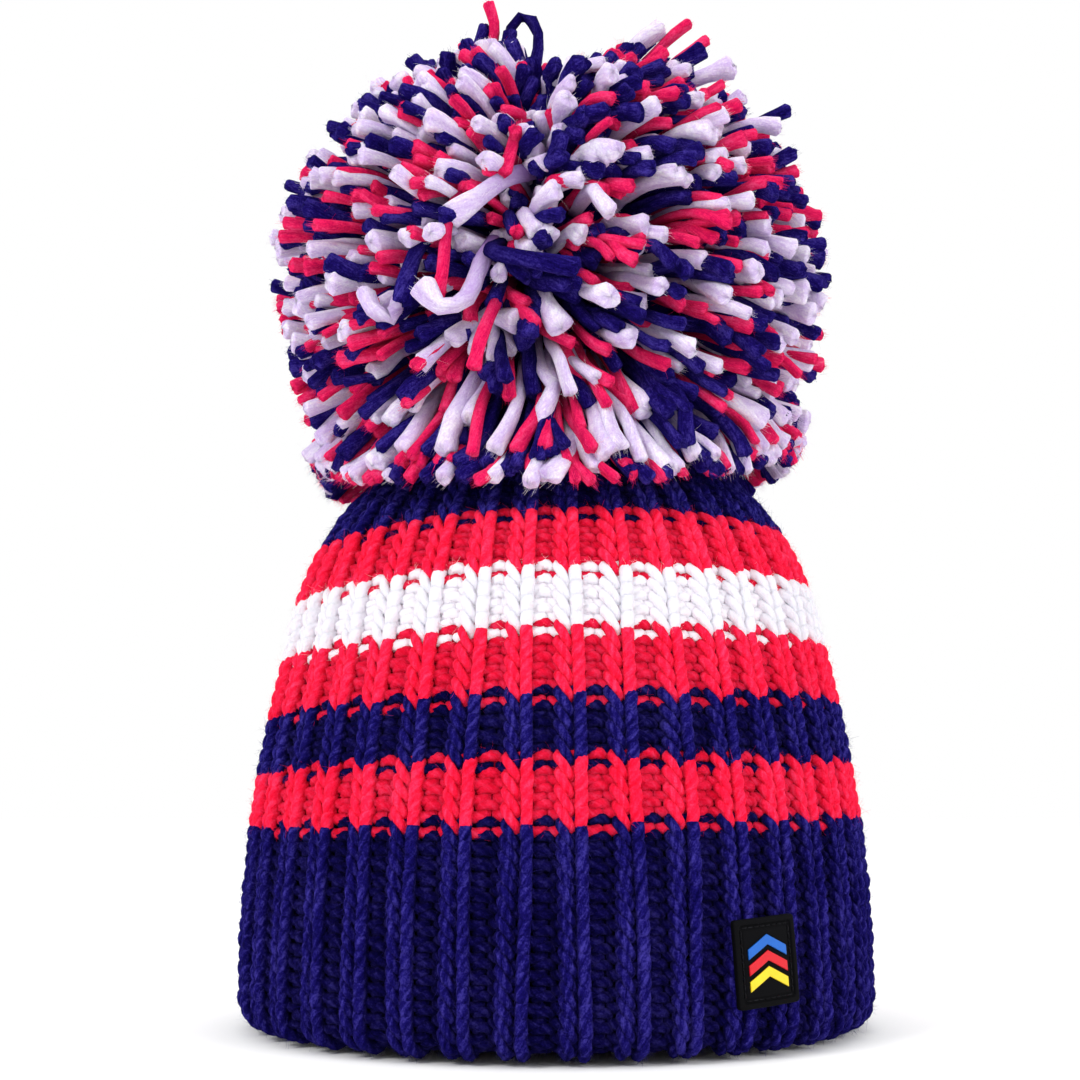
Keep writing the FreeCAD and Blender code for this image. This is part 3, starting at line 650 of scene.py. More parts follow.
def backing(name, slot, node, low_u, high_u):
    """Close-packed inner yarn between the two faces of the rib, so that no light comes through."""
    ripple_height, face_outer, face_inner = 0.45 * MM, -0.5 * MM, -1.3 * MM
    steps = max(4, int((high_u - low_u) / (1.6 * MM)))
    u = np.linspace(low_u, high_u, steps)
    angle = np.linspace(0, 2 * np.pi, RIBS * 12, endpoint=False)
    grid_u, grid_angle = np.meshgrid(u, angle, indexing="ij")
    width = np.interp(grid_u, LINE_U, LINE_R) * 2 * np.pi / STITCHES
    ripple = ripple_height * np.cos((grid_angle - RIB_PHASE) * RIBS) * np.clip(width / FULL_STITCH, 0, 1)
    outer, _ = on_surface(grid_u, grid_angle, ripple + face_outer)
    inner, _ = on_surface(grid_u, grid_angle, ripple + face_inner)
    offset = grid_u.size
    index = np.arange(offset).reshape(grid_u.shape)
    faces = ring_quads(index)
    back = faces[:, ::-1] + offset
    rims = []
    for edge, flip in ((index[0], True), (index[-1], False)):
        ring = np.stack([edge, np.roll(edge, -1), np.roll(edge, -1) + offset, edge + offset], -1)
        rims.append(ring[:, ::-1] if flip else ring)
    points = np.concatenate([outer.reshape(-1, 3), inner.reshape(-1, 3)])
    faces = np.concatenate([faces, back, *rims])
    uvs = np.stack([points[faces][..., 2], np.arctan2(points[faces][..., 0], points[faces][..., 1])], -1)
    # painted shade: the inner yarn takes its material's deep colour all over; for the white yarn that deep
    # colour is a painted light
    dress(new_object(name, points, faces, uvs, shade=np.zeros(len(points))), slot, "hat", node)


KNIT_SLOTS = {
    "hem_band": "navy_knit",
    "stripe_coral_lower": "coral_knit",
    "stripe_navy": "navy_knit",
    "stripe_coral_middle": "coral_knit",
    "stripe_white": "white_knit",
    "stripe_coral_upper": "coral_knit",
    "crown": "navy_knit",
}
COURSES_PER_PIECE = 7


def make_knit():
    """Every course, its loose fibres and the inner yarn, node by node."""
    rows = course_rows()
    for node, slot in KNIT_SLOTS.items():
        mine = [(number, row) for number, row in enumerate(rows) if row[2] == node]
        for part, start in enumerate(range(0, len(mine), COURSES_PER_PIECE), start=1):
            group = mine[start:start + COURSES_PER_PIECE]
            builder, fuzz = Builder(), Builder()
            knit_courses(builder, fuzz, [row for _, row in group], group[0][0])
            dress(builder.object(f"{node}_courses_{part}"), slot, "hat", node)
            if fuzz.points:
                dress(fuzz.object(f"{node}_loose_fibres_{part}"), slot, "hat", node,
                      material=f"{slot}_fuzz")
        low = mine[0][1][0] - mine[0][1][1] * 0.1
        high = mine[-1][1][0] + mine[-1][1][1] * 0.9
        backing(f"{node}_inner_yarn", slot, node, max(0.0, low), min(TOP_U, high))


# ---------------------------------------------------------------- the pom pom

POM_CENTRE = np.array([0.0, 0.0, 232 * MM])
POM_FLAT = 9 * MM            # the outline's upper arc starts this far from the axis
POM_UPPER = pom_high[2] - POM_CENTRE[2]
POM_RADIUS = pom_high[0]
POM_LOWER = 163.6 * MM       # radius of the flatter arc below the centre
SWING_CENTRE = np.array([8.635 * MM, 104.6 * MM])    # the hollow that the crown sweeps, in radius and z
SWING_RADIUS = DOME_RADIUS - 0.7 * MM
PARTING_LOW = np.array([-22 * MM, 207 * MM])     # the parting that the strands fall away from, in x and z
PARTING_HIGH = np.array([-5 * MM, 276 * MM])
PARTING_WIDTH = 9 * MM
GROOVE_X = 3 * MM            # where the parting runs on over the top
GROOVE_DEPTH = 13 * MM
STRANDS = 2250
FRINGE_STRANDS = 260
FRINGE_HEIGHT = 181 * MM      # strands that end below this lift with the fringe
LOWEST_STRAND = math.radians(133)    # from the top
STRAND_RINGS = 13
STRAND_SIDES = 14
FIBRES_ALONG, FIBRES_AT_CUT, STRAY_HAIRS = 34, 34, 14    # on each strand
STRAND_FLATNESS = 0.84        # a strand's thickness over its width
HEART_SHARE = 0.66            # size of the dense inner yarn against the outline
STRAND_RADIUS = {"navy": 2.30 * MM, "coral": 1.85 * MM, "white": 2.40 * MM}
STRAND_FLARE = {"navy": 0.12, "coral": 0.15, "white": 0.30}
STRAND_SHARE = {"navy": 0.355, "coral": 0.345, "white": 0.30}


def outline_radius(polar):
    """Pom pom's radius in a direction, by its angle down from the top."""
    sin, cos = np.sin(polar), np.cos(polar)
    upper = POM_FLAT * sin + np.sqrt(POM_UPPER ** 2 - (POM_FLAT * cos) ** 2)
    inset = POM_RADIUS - POM_LOWER
    lower = inset * sin + np.sqrt(POM_LOWER ** 2 - (inset * cos) ** 2)
    return np.where(polar < np.pi / 2, upper, lower)


def even_directions(count, lowest):
    """Evenly spread directions from the top down to an angle, lightly disturbed."""
    number = np.arange(count) + 0.5
    height = 1 - number / count * (1 - math.cos(lowest))
    turn = number * math.pi * (3 - math.sqrt(5)) + rng.normal(size=count) * 0.08
    polar = np.arccos(np.clip(height + rng.normal(size=count) * 0.02, -1, 1))
    return polar, turn


def from_parting(points):
    """Direction away from the parting across the pom pom's face, and the distance to it."""
    flat = points[:, [0, 2]]
    line = PARTING_HIGH - PARTING_LOW
    share = np.clip((flat - PARTING_LOW) @ line / (line @ line), 0, 1)
    away = flat - (PARTING_LOW + share[:, None] * line)
    distance = np.linalg.norm(away, axis=1)
    away = away / np.maximum(distance, 1e-6)[:, None]
    return np.stack([away[:, 0], np.zeros(len(away)), away[:, 1]], -1), distance


def strand_tips():
    """Tips of the pom pom's strands, the way that each one lies there, and the way out of the pom pom."""
    polar, turn = even_directions(STRANDS, LOWEST_STRAND)
    normal = np.stack([np.sin(polar) * np.cos(turn), np.sin(polar) * np.sin(turn), np.cos(polar)], -1)
    uneven = smooth_noise(normal, 0.9, 3) * 0.022 + smooth_noise(normal, 0.35, 4) * 0.02
    reach = outline_radius(polar) * (1.005 + uneven - 0.15 * rng.random(STRANDS) ** 1.5)
    reach *= 1 - 0.12 * np.clip(normal[:, 2], 0, 1) ** 2
    reach += rng.normal(size=STRANDS) * 1.1 * MM + 2.5 * MM * np.clip(-normal[:, 0], 0, 1)
    tips = POM_CENTRE + normal * reach[:, None]
    away, distance = from_parting(tips)
    # the parting is a cleft: tips beside it stand less far out
    cleft = np.exp(-(distance / PARTING_WIDTH) ** 2)
    tips -= normal * ((9 + 5 * np.clip(normal[:, 2], 0, 1)) * MM * cleft)[:, None]
    # and it runs on over the top, beside the standing tuft
    groove = np.exp(-((tips[:, 0] - GROOVE_X) / PARTING_WIDTH) ** 2) * np.clip(normal[:, 2] * 2 - 0.9, 0, 1)
    tips -= normal * (GROOVE_DEPTH * groove)[:, None]
    flow = np.clip(distance / (26 * MM), 0, 1)[:, None] ** 0.7
    heading = away * flow + normal * (0.60 + 0.4 * (1 - flow)) + rng.normal(size=(STRANDS, 3)) * 0.27
    # the lower strands droop
    heading[:, 2] -= 0.24 * np.clip(1 - np.abs(normal[:, 2]), 0, 1) * (tips[:, 2] < POM_CENTRE[2] + 30 * MM)
    return tips, unit(heading), normal


def fringe_tips():
    """Strands that hang round the pom pom's lower edge, over the crown."""
    turn = (np.arange(FRINGE_STRANDS) + rng.random(FRINGE_STRANDS)) / FRINGE_STRANDS * 2 * np.pi
    level = rng.random(FRINGE_STRANDS)
    front = np.clip(-np.sin(turn), 0, 1) ** 2
    side = np.clip(np.cos(turn), 0, 1) ** 2
    height = (169.5 - 8 * level - front * (7 + 6 * level) + 7 * side) * MM
    radius = (75 - 4.5 * level + 3.5 * front + 1.5 * side) * MM
    tips = np.stack([radius * np.cos(turn), radius * np.sin(turn), height], -1)
    outward = np.stack([np.cos(turn), np.sin(turn), np.zeros_like(turn)], -1)
    sideways = np.stack([-np.sin(turn), np.cos(turn), np.zeros_like(turn)], -1)
    spread = (np.sign(np.cos(turn)) * -np.sin(turn) * 0.35)[:, None] * sideways
    heading = outward * 0.5 + spread + np.array([0, 0, -0.75]) + rng.normal(size=tips.shape) * 0.2
    return tips, unit(heading), unit(outward + np.array([0, 0, -0.35]))


def strand_paths(tips, heading, normal, radii):
    """Each strand from the tied core out to its tip, with a slight crimp."""
    count = len(tips)
    inner = tips - POM_CENTRE
    distance = np.linalg.norm(inner, axis=1, keepdims=True)
    sideways = heading - normal * np.sum(heading * normal, 1, keepdims=True)
    start = POM_CENTRE + inner * 0.45 - sideways * 8 * MM
    pull_in = unit(inner) * distance * 0.55
    pull_out = heading * distance * rng.uniform(0.35, 0.7, (count, 1))
    place = np.linspace(0, 1, STRAND_RINGS)[None, :, None]
    h00 = 2 * place ** 3 - 3 * place ** 2 + 1
    h10 = place ** 3 - 2 * place ** 2 + place
    h01 = -2 * place ** 3 + 3 * place ** 2
    h11 = place ** 3 - place ** 2
    paths = (h00 * start[:, None] + h10 * pull_in[:, None] + h01 * tips[:, None] + h11 * pull_out[:, None])
    side = unit(np.cross(heading, normal + rng.normal(size=(count, 3)) * 0.3))
    other = np.cross(heading, side)
    crimp = rng.uniform(0.3, 1.9, (count, 1, 1)) * MM
    beat = rng.uniform(0.7, 2.2, (count, 1, 1)) * 2 * np.pi
    shift = rng.uniform(0, 2 * np.pi, (count, 1, 1))
    paths = paths + (side[:, None] * np.sin(place * beat + shift)
                     + other[:, None] * np.cos(place * beat * 0.8 + shift)) * crimp * place
    return clear_of_crown(paths, radii)


def clear_of_crown(paths, radii):
    """Pushes strands out of the hollow under the pom pom that the crown needs as the pom pom leans."""
    flat = np.linalg.norm(paths[..., :2], axis=-1)
    across = np.maximum(flat - SWING_CENTRE[0], 0)
    up = paths[..., 2] - SWING_CENTRE[1]
    distance = np.hypot(across, up)
    push = np.maximum(SWING_RADIUS + radii[:, None] - distance, 0)
    outward = paths[..., :2] / np.maximum(flat, 1e-9)[..., None] * across[..., None]
    direction = np.concatenate([outward, up[..., None]], -1) / distance[..., None]
    return paths + direction * push[..., None]


def lay_fibres(builder, frame_of, strand, start, length, angle, lift_first, lift_last, half):
    """Adds fibres that run along strands: from a ring, over a length in rings, at an angle round them.

    lift_first and lift_last say how far out of the strand's face each fibre begins and ends.
    """
    paths, tangent, side, lift, thick = frame_of
    rings = paths.shape[1]
    steps = np.linspace(0, 1, 4)
    place = start[:, None] + length[:, None] * steps[None]
    inside = np.clip(place, 0, rings - 1.001)
    low = np.floor(inside).astype(int)
    share = (inside - low)[..., None]
    pick = strand[:, None]

    def between(values):
        return values[pick, low] * (1 - share) + values[pick, low + 1] * share

    centre, along, across, outward = (between(values) for values in (paths, tangent, side, lift))
    radius = between(thick[..., None])[..., 0]
    spacing = np.linalg.norm(paths[strand, -1] - paths[strand, -2], axis=1)
    centre = centre + along * (np.maximum(place - (rings - 1.001), 0) * spacing[:, None])[..., None]
    turn = angle[:, None] + 0.25 * steps[None]
    out = across * np.cos(turn)[..., None] + outward * np.sin(turn)[..., None] * STRAND_FLATNESS
    rise = radius + lift_first[:, None] * (1 - steps) + lift_last[:, None] * steps ** 2
    spine = centre + out * rise[..., None]
    width = unit(np.cross(along, out))
    # painted shade: fibres that lie nearer the core are darker
    strand_fibre_shade = np.clip(0.25 + 1.1 * (start + length * 0.5) / rings, 0, 1.0)
    ribbons(builder, spine, width, half, strand_fibre_shade)


def add_strands(builder, fuzz, paths, radii, flare):
    """Lobed tubes with frayed, flared cut ends, and the fibres that run along them and out of the cut."""
    count = len(paths)
    # three more rings round off the cut
    tangent = unit(paths[:, -1] - paths[:, -2])
    beyond = tangent[:, None] * radii[:, None, None]
    paths = np.concatenate([paths, paths[:, -1:] + beyond * 0.20, paths[:, -1:] + beyond * 0.36,
                            paths[:, -1:] + beyond * 0.42], axis=1)
    rings = paths.shape[1]
    place = np.linspace(0, 1, STRAND_RINGS)
    shape = 0.80 + 0.18 * place + np.clip((place - 0.72) / 0.28, 0, 1)[None] ** 1.6 * flare * rng.uniform(
        0.1, 1.9, (count, 1))
    uneven = 1 + 0.10 * smooth_noise(paths[:, :STRAND_RINGS], 11 * MM, 77)
    thick = radii[:, None] * shape * uneven
    thick = np.concatenate([thick, thick[:, -1:] * 0.93, thick[:, -1:] * 0.70, thick[:, -1:] * 0.34], axis=1)
    turn = np.arange(STRAND_SIDES) / STRAND_SIDES * 2 * np.pi
    ring = np.arange(rings)[None, :, None]
    lobes = np.ones((count, rings, STRAND_SIDES))
    for number, depth in ((2, 0.09), (3, 0.07), (5, 0.04)):
        shift = rng.uniform(0, 2 * np.pi, (count, 1, 1))
        drift = rng.normal(size=(count, 1, 1)) * 0.13
        lobes += depth * np.sin(number * turn[None, None] + shift + drift * ring)
    push = np.zeros_like(lobes)
    ragged = rng.normal(size=(count, 1, STRAND_SIDES)) * 0.09 * radii[:, None, None]
    push[:, -4:] = ragged * np.array([0.5, 1.0, 1.2, 1.2])[None, :, None]
    split = np.abs(rng.normal(size=(count, 1, 1))) * 0.16
    push[:, -4:] -= (split * radii[:, None, None] * np.array([0.2, 0.7, 1.0, 1.0])[None, :, None]
                     * (0.5 + 0.5 * np.sin(2 * turn + rng.uniform(0, 6, (count, 1, 1)))))
    axis = unit(rng.normal(size=(count, 1, 3)))
    up = unit(axis - tangent[:, None] * np.sum(axis * tangent[:, None], -1, keepdims=True))
    up = np.broadcast_to(up, paths.shape)
    # painted shade: darker towards each strand's root in the pom pom and in the valleys between its lobes;
    # tone differs at random from strand to strand
    root_shade = np.clip((np.arange(rings) - 2) / 8, 0, 1) ** 1.2
    tone = rng.uniform(0.86, 1.0, (count, 1, 1))
    lobe_shade = np.clip(1 + (lobes - 1.0) * 1.6, 0.7, 1)
    shade = np.clip(root_shade[None, :, None] * tone * lobe_shade, 0, 1)
    tubes(builder, paths, thick, up, STRAND_SIDES, flatten=STRAND_FLATNESS, start_u=rng.random(count) * 2,
          lobes=lobes, push=push, shade=shade)
    frame_of = (paths[:, :STRAND_RINGS], *(values[:, :STRAND_RINGS] for values in tube_frame(paths, up)),
                thick[:, :STRAND_RINGS])
    last = STRAND_RINGS - 1
    many = np.repeat(np.arange(count), FIBRES_ALONG)
    size = len(many)
    lay_fibres(fuzz, frame_of, many, rng.uniform(6, last - 0.4, size), rng.uniform(0.4, 1.2, size),
               rng.uniform(0, 2 * np.pi, size), np.full(size, -0.03 * MM),
               rng.uniform(0.05, 1.0, size) * 0.55 * MM, 0.034 * MM)
    many = np.repeat(np.arange(count), FIBRES_AT_CUT)
    size = len(many)
    inward = rng.uniform(-1.0, 0.10, size) * radii[many]
    lay_fibres(fuzz, frame_of, many, last - rng.uniform(0.1, 0.5, size), rng.uniform(0.4, 0.85, size),
               rng.uniform(0, 2 * np.pi, size), np.minimum(inward, 0),
               inward + rng.uniform(0.0, 0.20, size) * radii[many], 0.055 * MM)
    many = np.repeat(np.arange(count), STRAY_HAIRS)
    size = len(many)
    pick = rng.integers(STRAND_RINGS // 2, STRAND_RINGS, size)
    spread = unit(rng.normal(size=(size, 3)))
    roots = paths[many, pick] + spread * (thick[many, pick] * 0.9)[:, None]
    way = unit(paths[many, pick] - paths[many, pick - 1])
    fibres(fuzz, roots, way * rng.choice([-1, 1], size)[:, None] * 0.8
           + spread * rng.uniform(0.1, 0.9, (size, 1)) + rng.normal(size=(size, 3)) * 0.5,
           rng.uniform(0.8, 2.6, size) * MM, 0.026 * MM, 0.9)


# Strands that stand out of the rest: yarn, thickness, and the points in millimetres that they pass through
STANDING_STRANDS = [
    ("navy", 0.95, [(-12, -6, 284), (-15, -7, 300), (-14, -8, 312), (-9, -8, 316), (-5, -8, 309),
                    (-7, -7, 296)]),
    ("navy", 1.12, [(-20, -4, 280), (-24, -5, 292), (-25, -6, 303), (-22, -7, 312)]),
    ("coral", 1.12, [(-20, -8, 282), (-21, -9, 298), (-19, -10, 311), (-21, -10, 319)]),
    ("coral", 1.12, [(-25, -9, 280), (-28, -10, 293), (-29, -11, 305)]),
    ("navy", 1.06, [(-16, -9, 284), (-17, -10, 297), (-14, -11, 309)]),
    ("white", 1.01, [(-17, -14, 278), (-17, -17, 290), (-18, -19, 301)]),
    ("coral", 1.12, [(-24, -18, 274), (-30, -21, 285), (-34, -23, 295)]),
    ("white", 1.12, [(-22, -20, 272), (-25, -26, 284), (-29, -29, 291)]),
    ("navy", 1.12, [(-28, -14, 276), (-35, -16, 288), (-40, -17, 296)]),
    ("white", 1.12, [(8, -8, 286), (18, -9, 297), (27, -10, 306), (34, -10, 311)]),
    ("navy", 1.01, [(12, -4, 288), (22, -5, 299), (31, -6, 309)]),
    ("coral", 1.01, [(18, -8, 290), (30, -9, 301), (38, -9, 309), (43, -9, 313)]),
    ("coral", 1.12, [(24, -12, 286), (38, -13, 298), (48, -14, 305)]),
    ("navy", 1.12, [(22, -18, 282), (36, -20, 292), (46, -21, 299)]),
    ("white", 1.23, [(26, -26, 276), (40, -30, 284), (54, -31, 289)]),
    ("navy", 1.06, [(50, -24, 262), (62, -26, 272), (72, -26, 277)]),
    ("coral", 1.06, [(-18, -60, 236), (-27, -74, 234), (-30, -78, 222), (-31, -79, 210), (-33, -78, 202)]),
    ("white", 1.12, [(-16, -62, 226), (-20, -77, 214), (-24, -81, 203), (-31, -82, 200), (-36, -80, 206)]),
    ("white", 1.12, [(-38, -56, 214), (-43, -71, 206), (-45, -76, 199), (-50, -74, 201), (-53, -70, 207)]),
    ("white", 1.18, [(-4, -60, 246), (-13, -72, 240), (-22, -77, 232), (-29, -77, 227)]),
    ("navy", 1.18, [(-14, -62, 224), (-17, -80, 216), (-6, -86, 212), (6, -86, 210)]),
    ("coral", 1.06, [(-2, -52, 262), (-9, -66, 258), (-12, -72, 249), (-14, -76, 240)]),
    ("coral", 1.12, [(-12, -58, 214), (-16, -76, 203), (-20, -80, 192), (-22, -79, 184)]),
    ("navy", 1.12, [(-30, -56, 226), (-37, -70, 222), (-41, -74, 211), (-42, -75, 203)]),
]


def smooth_path(points, steps):
    """Curve through points, evenly sampled."""
    points = np.asarray(points, float) * MM
    padded = np.concatenate([[2 * points[0] - points[1]], points, [2 * points[-1] - points[-2]]])
    t = np.linspace(0, 1, 12, endpoint=False)[:, None]
    runs = []
    for a, b, c, d in zip(padded, padded[1:], padded[2:], padded[3:]):
        runs.append(0.5 * (2 * b + (c - a) * t + (2 * a - 5 * b + 4 * c - d) * t ** 2
                           + (3 * b - a - 3 * c + d) * t ** 3))
    curve = np.concatenate(runs + [points[-1:]])
    length = np.concatenate([[0], np.cumsum(np.linalg.norm(np.diff(curve, axis=0), axis=1))])
    even = np.linspace(0, length[-1], steps)
    return np.stack([np.interp(even, length, curve[:, axis]) for axis in range(3)], -1)


def pick_yarns(count):
    """A yarn's number for each strand, in the yarns' shares."""
    order = rng.random(count)
    bounds = np.cumsum(list(STRAND_SHARE.values()))
    return np.searchsorted(bounds, order * bounds[-1])


def strand_pieces(name, label, paths, radii):
    """Strands of one yarn, and their fibres."""
    builder, fuzz = Builder(), Builder()
    add_strands(builder, fuzz, paths, radii, STRAND_FLARE[name])
    return [
        dress(builder.object(f"pom_{name}_{label}"), f"pom_{name}", "pom_pom", f"pom_yarn_{name}"),
        dress(fuzz.object(f"pom_{name}_{label}_fibres"), f"pom_{name}", "pom_pom", f"pom_yarn_{name}",
              material=f"pom_{name}_fuzz"),
    ]


def make_pom():
    """The strands of each yarn, in parts small enough for one piece each, and the heart inside."""
    names = list(STRAND_SHARE)
    tips, heading, normal = (np.concatenate(pair) for pair in zip(strand_tips(), fringe_tips()))
    yarn = pick_yarns(len(tips))
    base = np.array([STRAND_RADIUS[name] for name in names])
    radii = base[yarn] * rng.uniform(0.82, 1.16, len(tips))
    paths = strand_paths(tips, heading, normal, radii)
    fringe = tips[:, 2] < FRINGE_HEIGHT
    high, front = tips[:, 2] >= POM_CENTRE[2], tips[:, 1] < 0
    across = np.abs(tips[:, 0]) > np.abs(tips[:, 1])
    for number, name in enumerate(names):
        for label, part in (("upper_front", high & front), ("upper_back", high & ~front),
                            ("lower_front", ~high & front & ~fringe),
                            ("lower_back", ~high & ~front & ~fringe)):
            pick = (yarn == number) & part
            strand_pieces(name, label, paths[pick], radii[pick])
        # the lower edge, which lifts as the pom pom leans onto the crown: its strands in pieces with meshes
        # of their own, front and back apart from the sides
        for side, joint, where in (("front_back", "pom_nod", ~across), ("sides", "pom_sway", across)):
            pick = (yarn == number) & where & fringe
            for piece in strand_pieces(name, f"fringe_{side}", paths[pick], radii[pick]):
                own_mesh(piece)
        standing = [(size, smooth_path(points, STRAND_RINGS)) for colour, size, points in STANDING_STRANDS
                    if colour == name]
        strand_pieces(name, "standing_strands", np.array([path for _, path in standing]),
                      np.array([size for size, _ in standing]) * base[number])
    make_pom_heart()


def make_pom_heart():
    """Densely packed inner yarn round the tied core, painted in full shade, seen only as the dark between
    strands.
    """
    polar = np.linspace(math.radians(8), math.radians(128), 40)
    turn = np.linspace(0, 2 * np.pi, 96, endpoint=False)
    grid_polar, grid_turn = np.meshgrid(polar, turn, indexing="ij")
    folds = (1 + 0.05 * np.sin(grid_turn * 17 + grid_polar * 9)
             + 0.04 * np.sin(grid_turn * 29 - grid_polar * 14))
    reach = outline_radius(grid_polar) * HEART_SHARE * folds
    points = np.stack([reach * np.sin(grid_polar) * np.cos(grid_turn),
                       reach * np.sin(grid_polar) * np.sin(grid_turn),
                       POM_CENTRE[2] + reach * np.cos(grid_polar)], -1).reshape(-1, 3)
    index = np.arange(len(points)).reshape(grid_polar.shape)
    faces = ring_quads(index)[:, [0, 3, 2, 1]]
    middle = np.array([[0, 0, POM_CENTRE[2]]])
    heart = len(points)
    points = np.concatenate([points, middle + [[0, 0, 40 * MM]], middle - [[0, 0, 30 * MM]]])
    closing = []
    for column in range(0, len(turn), 2):
        following, third = (column + 1) % len(turn), (column + 2) % len(turn)
        closing.append([heart, index[0, column], index[0, following], index[0, third]])
        closing.append([heart + 1, index[-1, third], index[-1, following], index[-1, column]])
    faces = np.concatenate([faces, np.array(closing)])
    uvs = np.stack([points[faces][..., 2], np.arctan2(points[faces][..., 1], points[faces][..., 0])], -1)
    # painted shade: the heart takes the deep shade colour all over
    dress(new_object("pom_inner_yarn", points, faces, uvs, shade=np.zeros(len(points))), "pom_navy",
          "pom_pom", "pom_yarn_navy")


# ---------------------------------------------------------------- the ties


ANCHOR_CORD, KNOT_CORD, STEM_CORD = 2.1 * MM, 1.7 * MM, 1.5 * MM    # radii
STEM_TWIST = 3.5              # turns of the stem's two cords round each other
BINDING_TURNS = 8


def tube_piece(name, slot, body, path, radius, node, up=(0, 0, 1)):
    """One cord of even thickness along a path, as a piece of its own."""
    path = np.asarray(path, float)
    tangent = unit(np.gradient(path, axis=0))
    steady = np.asarray(up, float) + 1e-3 * np.array([1.0, 0.7, 0.3])
    steady = unit(steady - tangent * np.sum(steady * tangent, 1, keepdims=True))
    builder = Builder()
    tubes(builder, path[None], np.full((1, len(path)), radius), steady[None], 12)
    dress(builder.object(name), slot, body, node)


def helix(radius, turn, height):
    """Points round the axis, by their angle from the wearer's left."""
    return np.stack([radius * np.cos(turn), radius * np.sin(turn), height], -1)


def knot_path(centre, size):
    """Overhand knot: a trefoil, drawn tight."""
    turn = np.linspace(0, 2 * np.pi, 160)
    return np.stack([
        centre[0] + size * (np.sin(turn) + 1.75 * np.sin(2 * turn)) / 2.75,
        centre[1] + size * (np.cos(turn) - 1.75 * np.cos(2 * turn)) / 2.75,
        centre[2] - size * 0.85 * np.sin(3 * turn) / 1.6,
    ], -1)


def make_ties():
    """The cord through the crown's hole, its knot inside, the knot and stem above, and the binding."""
    low, high = corner_box("tie_tails")
    path = np.stack([np.zeros(40), np.zeros(40), low[2] + (high[2] - low[2]) * np.linspace(0, 1, 40)], -1)
    tube_piece("tie_tails_cord", "tie_cord", "tie_cord", path, high[0] * 0.98, "tie_tails", up=(1, 0, 0))
    low, high = corner_box("tie_anchor_knot")
    path = knot_path((low + high) / 2, (high[0] - low[0]) / 2 - ANCHOR_CORD)
    tube_piece("tie_anchor_knot_cord", "tie_cord", "tie_cord", path, ANCHOR_CORD, "tie_anchor_knot")
    low, high = corner_box("tie_knot")
    middle = np.array([0, 0, low[2] + high[0]])
    stem = np.linspace(0, 1, 60)
    rise = middle[2] + (high[2] - middle[2]) * stem
    cords = [(knot_path(middle, high[0] - KNOT_CORD), KNOT_CORD, (0.3, 0.2, 1.0))]
    cords += [(helix(1.4 * MM, stem * STEM_TWIST * 2 * np.pi + side, rise), STEM_CORD, (1.0, 0.1, 0.0))
              for side in (0, np.pi)]
    builder = Builder()
    for path, radius, up in cords:
        steady = np.broadcast_to(np.array(up), path.shape)
        tubes(builder, path[None], np.full((1, len(path)), radius), unit(steady)[None], 10)
    dress(builder.object("tie_knot_cord"), "tie_cord", "tie_knot", "tie_knot")
    low, high = corner_box("tie_binding")
    spin = np.linspace(0, BINDING_TURNS * 2 * np.pi, BINDING_TURNS * 40)
    coil = (high[2] - low[2]) / BINDING_TURNS / 2
    path = helix(high[0] - coil, spin, low[2] + coil + (high[2] - low[2] - 2 * coil) * spin / spin[-1])
    tube_piece("tie_binding_winding", "tie_cord", "pom_pom", path, coil * 1.05, "tie_binding")


def make_drawstring():
    """String through the crown's last round, slightly wavy where it passes the loops."""
    low, high = corner_box("crown_drawstring")
    radius = (high[2] - low[2]) / 2
    spin = np.linspace(0, 2 * np.pi, 120)
    path = helix(high[0] - radius + 0.25 * MM * np.sin(spin * 9), spin,
                 (low[2] + high[2]) / 2 + 0.3 * MM * np.cos(spin * 9))
    tube_piece("crown_drawstring_cord", "navy_thread", "hat", path, radius, "crown_drawstring")


def make_back_seam():
    """Cord laced up the inside of the back, from wale to wale."""
    low, high = corner_box("back_seam_thread")
    first, last = line_at_height(low[2]), line_at_height(high[2])
    rungs = int((last - first) / HEM_PITCH)
    t = np.linspace(0, rungs, rungs * 14)
    u = first + (last - first) * t / rungs
    radius = np.interp(u, LINE_U, LINE_R)
    angle = np.pi + 1.7 * MM / radius * np.sin(t * 2 * np.pi)
    depth = -SKIN - 0.7 * MM - 0.5 * MM * np.cos(t * 4 * np.pi)
    path, normals = on_surface(u, angle, depth)
    builder = Builder()
    tubes(builder, path[None], np.full((1, len(path)), 0.85 * MM), normals[None], 8)
    dress(builder.object("back_seam_lacing"), "navy_thread", "hat", "back_seam_thread")


# ---------------------------------------------------------------- the fleece band


LINING_THICK = 2 * MM
STITCH_LOW, STITCH_HIGH, STITCH_JOIN = (
    float(sum(corner_box(f"lining_{row}_stitches"))[2] / 2) for row in ("lower", "upper", "join"))
NAP_FIBRES = 48000


def lining_face(angle, height, depth):
    """Radius of the fleece at a depth in from its outer face, lightly puckered along the stitches."""
    low, high = lining_low[2], lining_high[2]
    share = (height - low) / (high - low)
    pucker = 0.25 * MM * np.sin(angle * 60) * (np.exp(-((height - STITCH_LOW) / (3 * MM)) ** 2)
                                               + np.exp(-((height - STITCH_HIGH) / (3 * MM)) ** 2))
    drift = 0.35 * MM * np.sin(angle * 5 + share * 4) + 0.2 * MM * np.sin(angle * 11 - share * 7)
    return lining_high[0] - depth + pucker * 0.6 + drift * np.clip(share * (1 - share) * 4, 0, 1) * 0.5


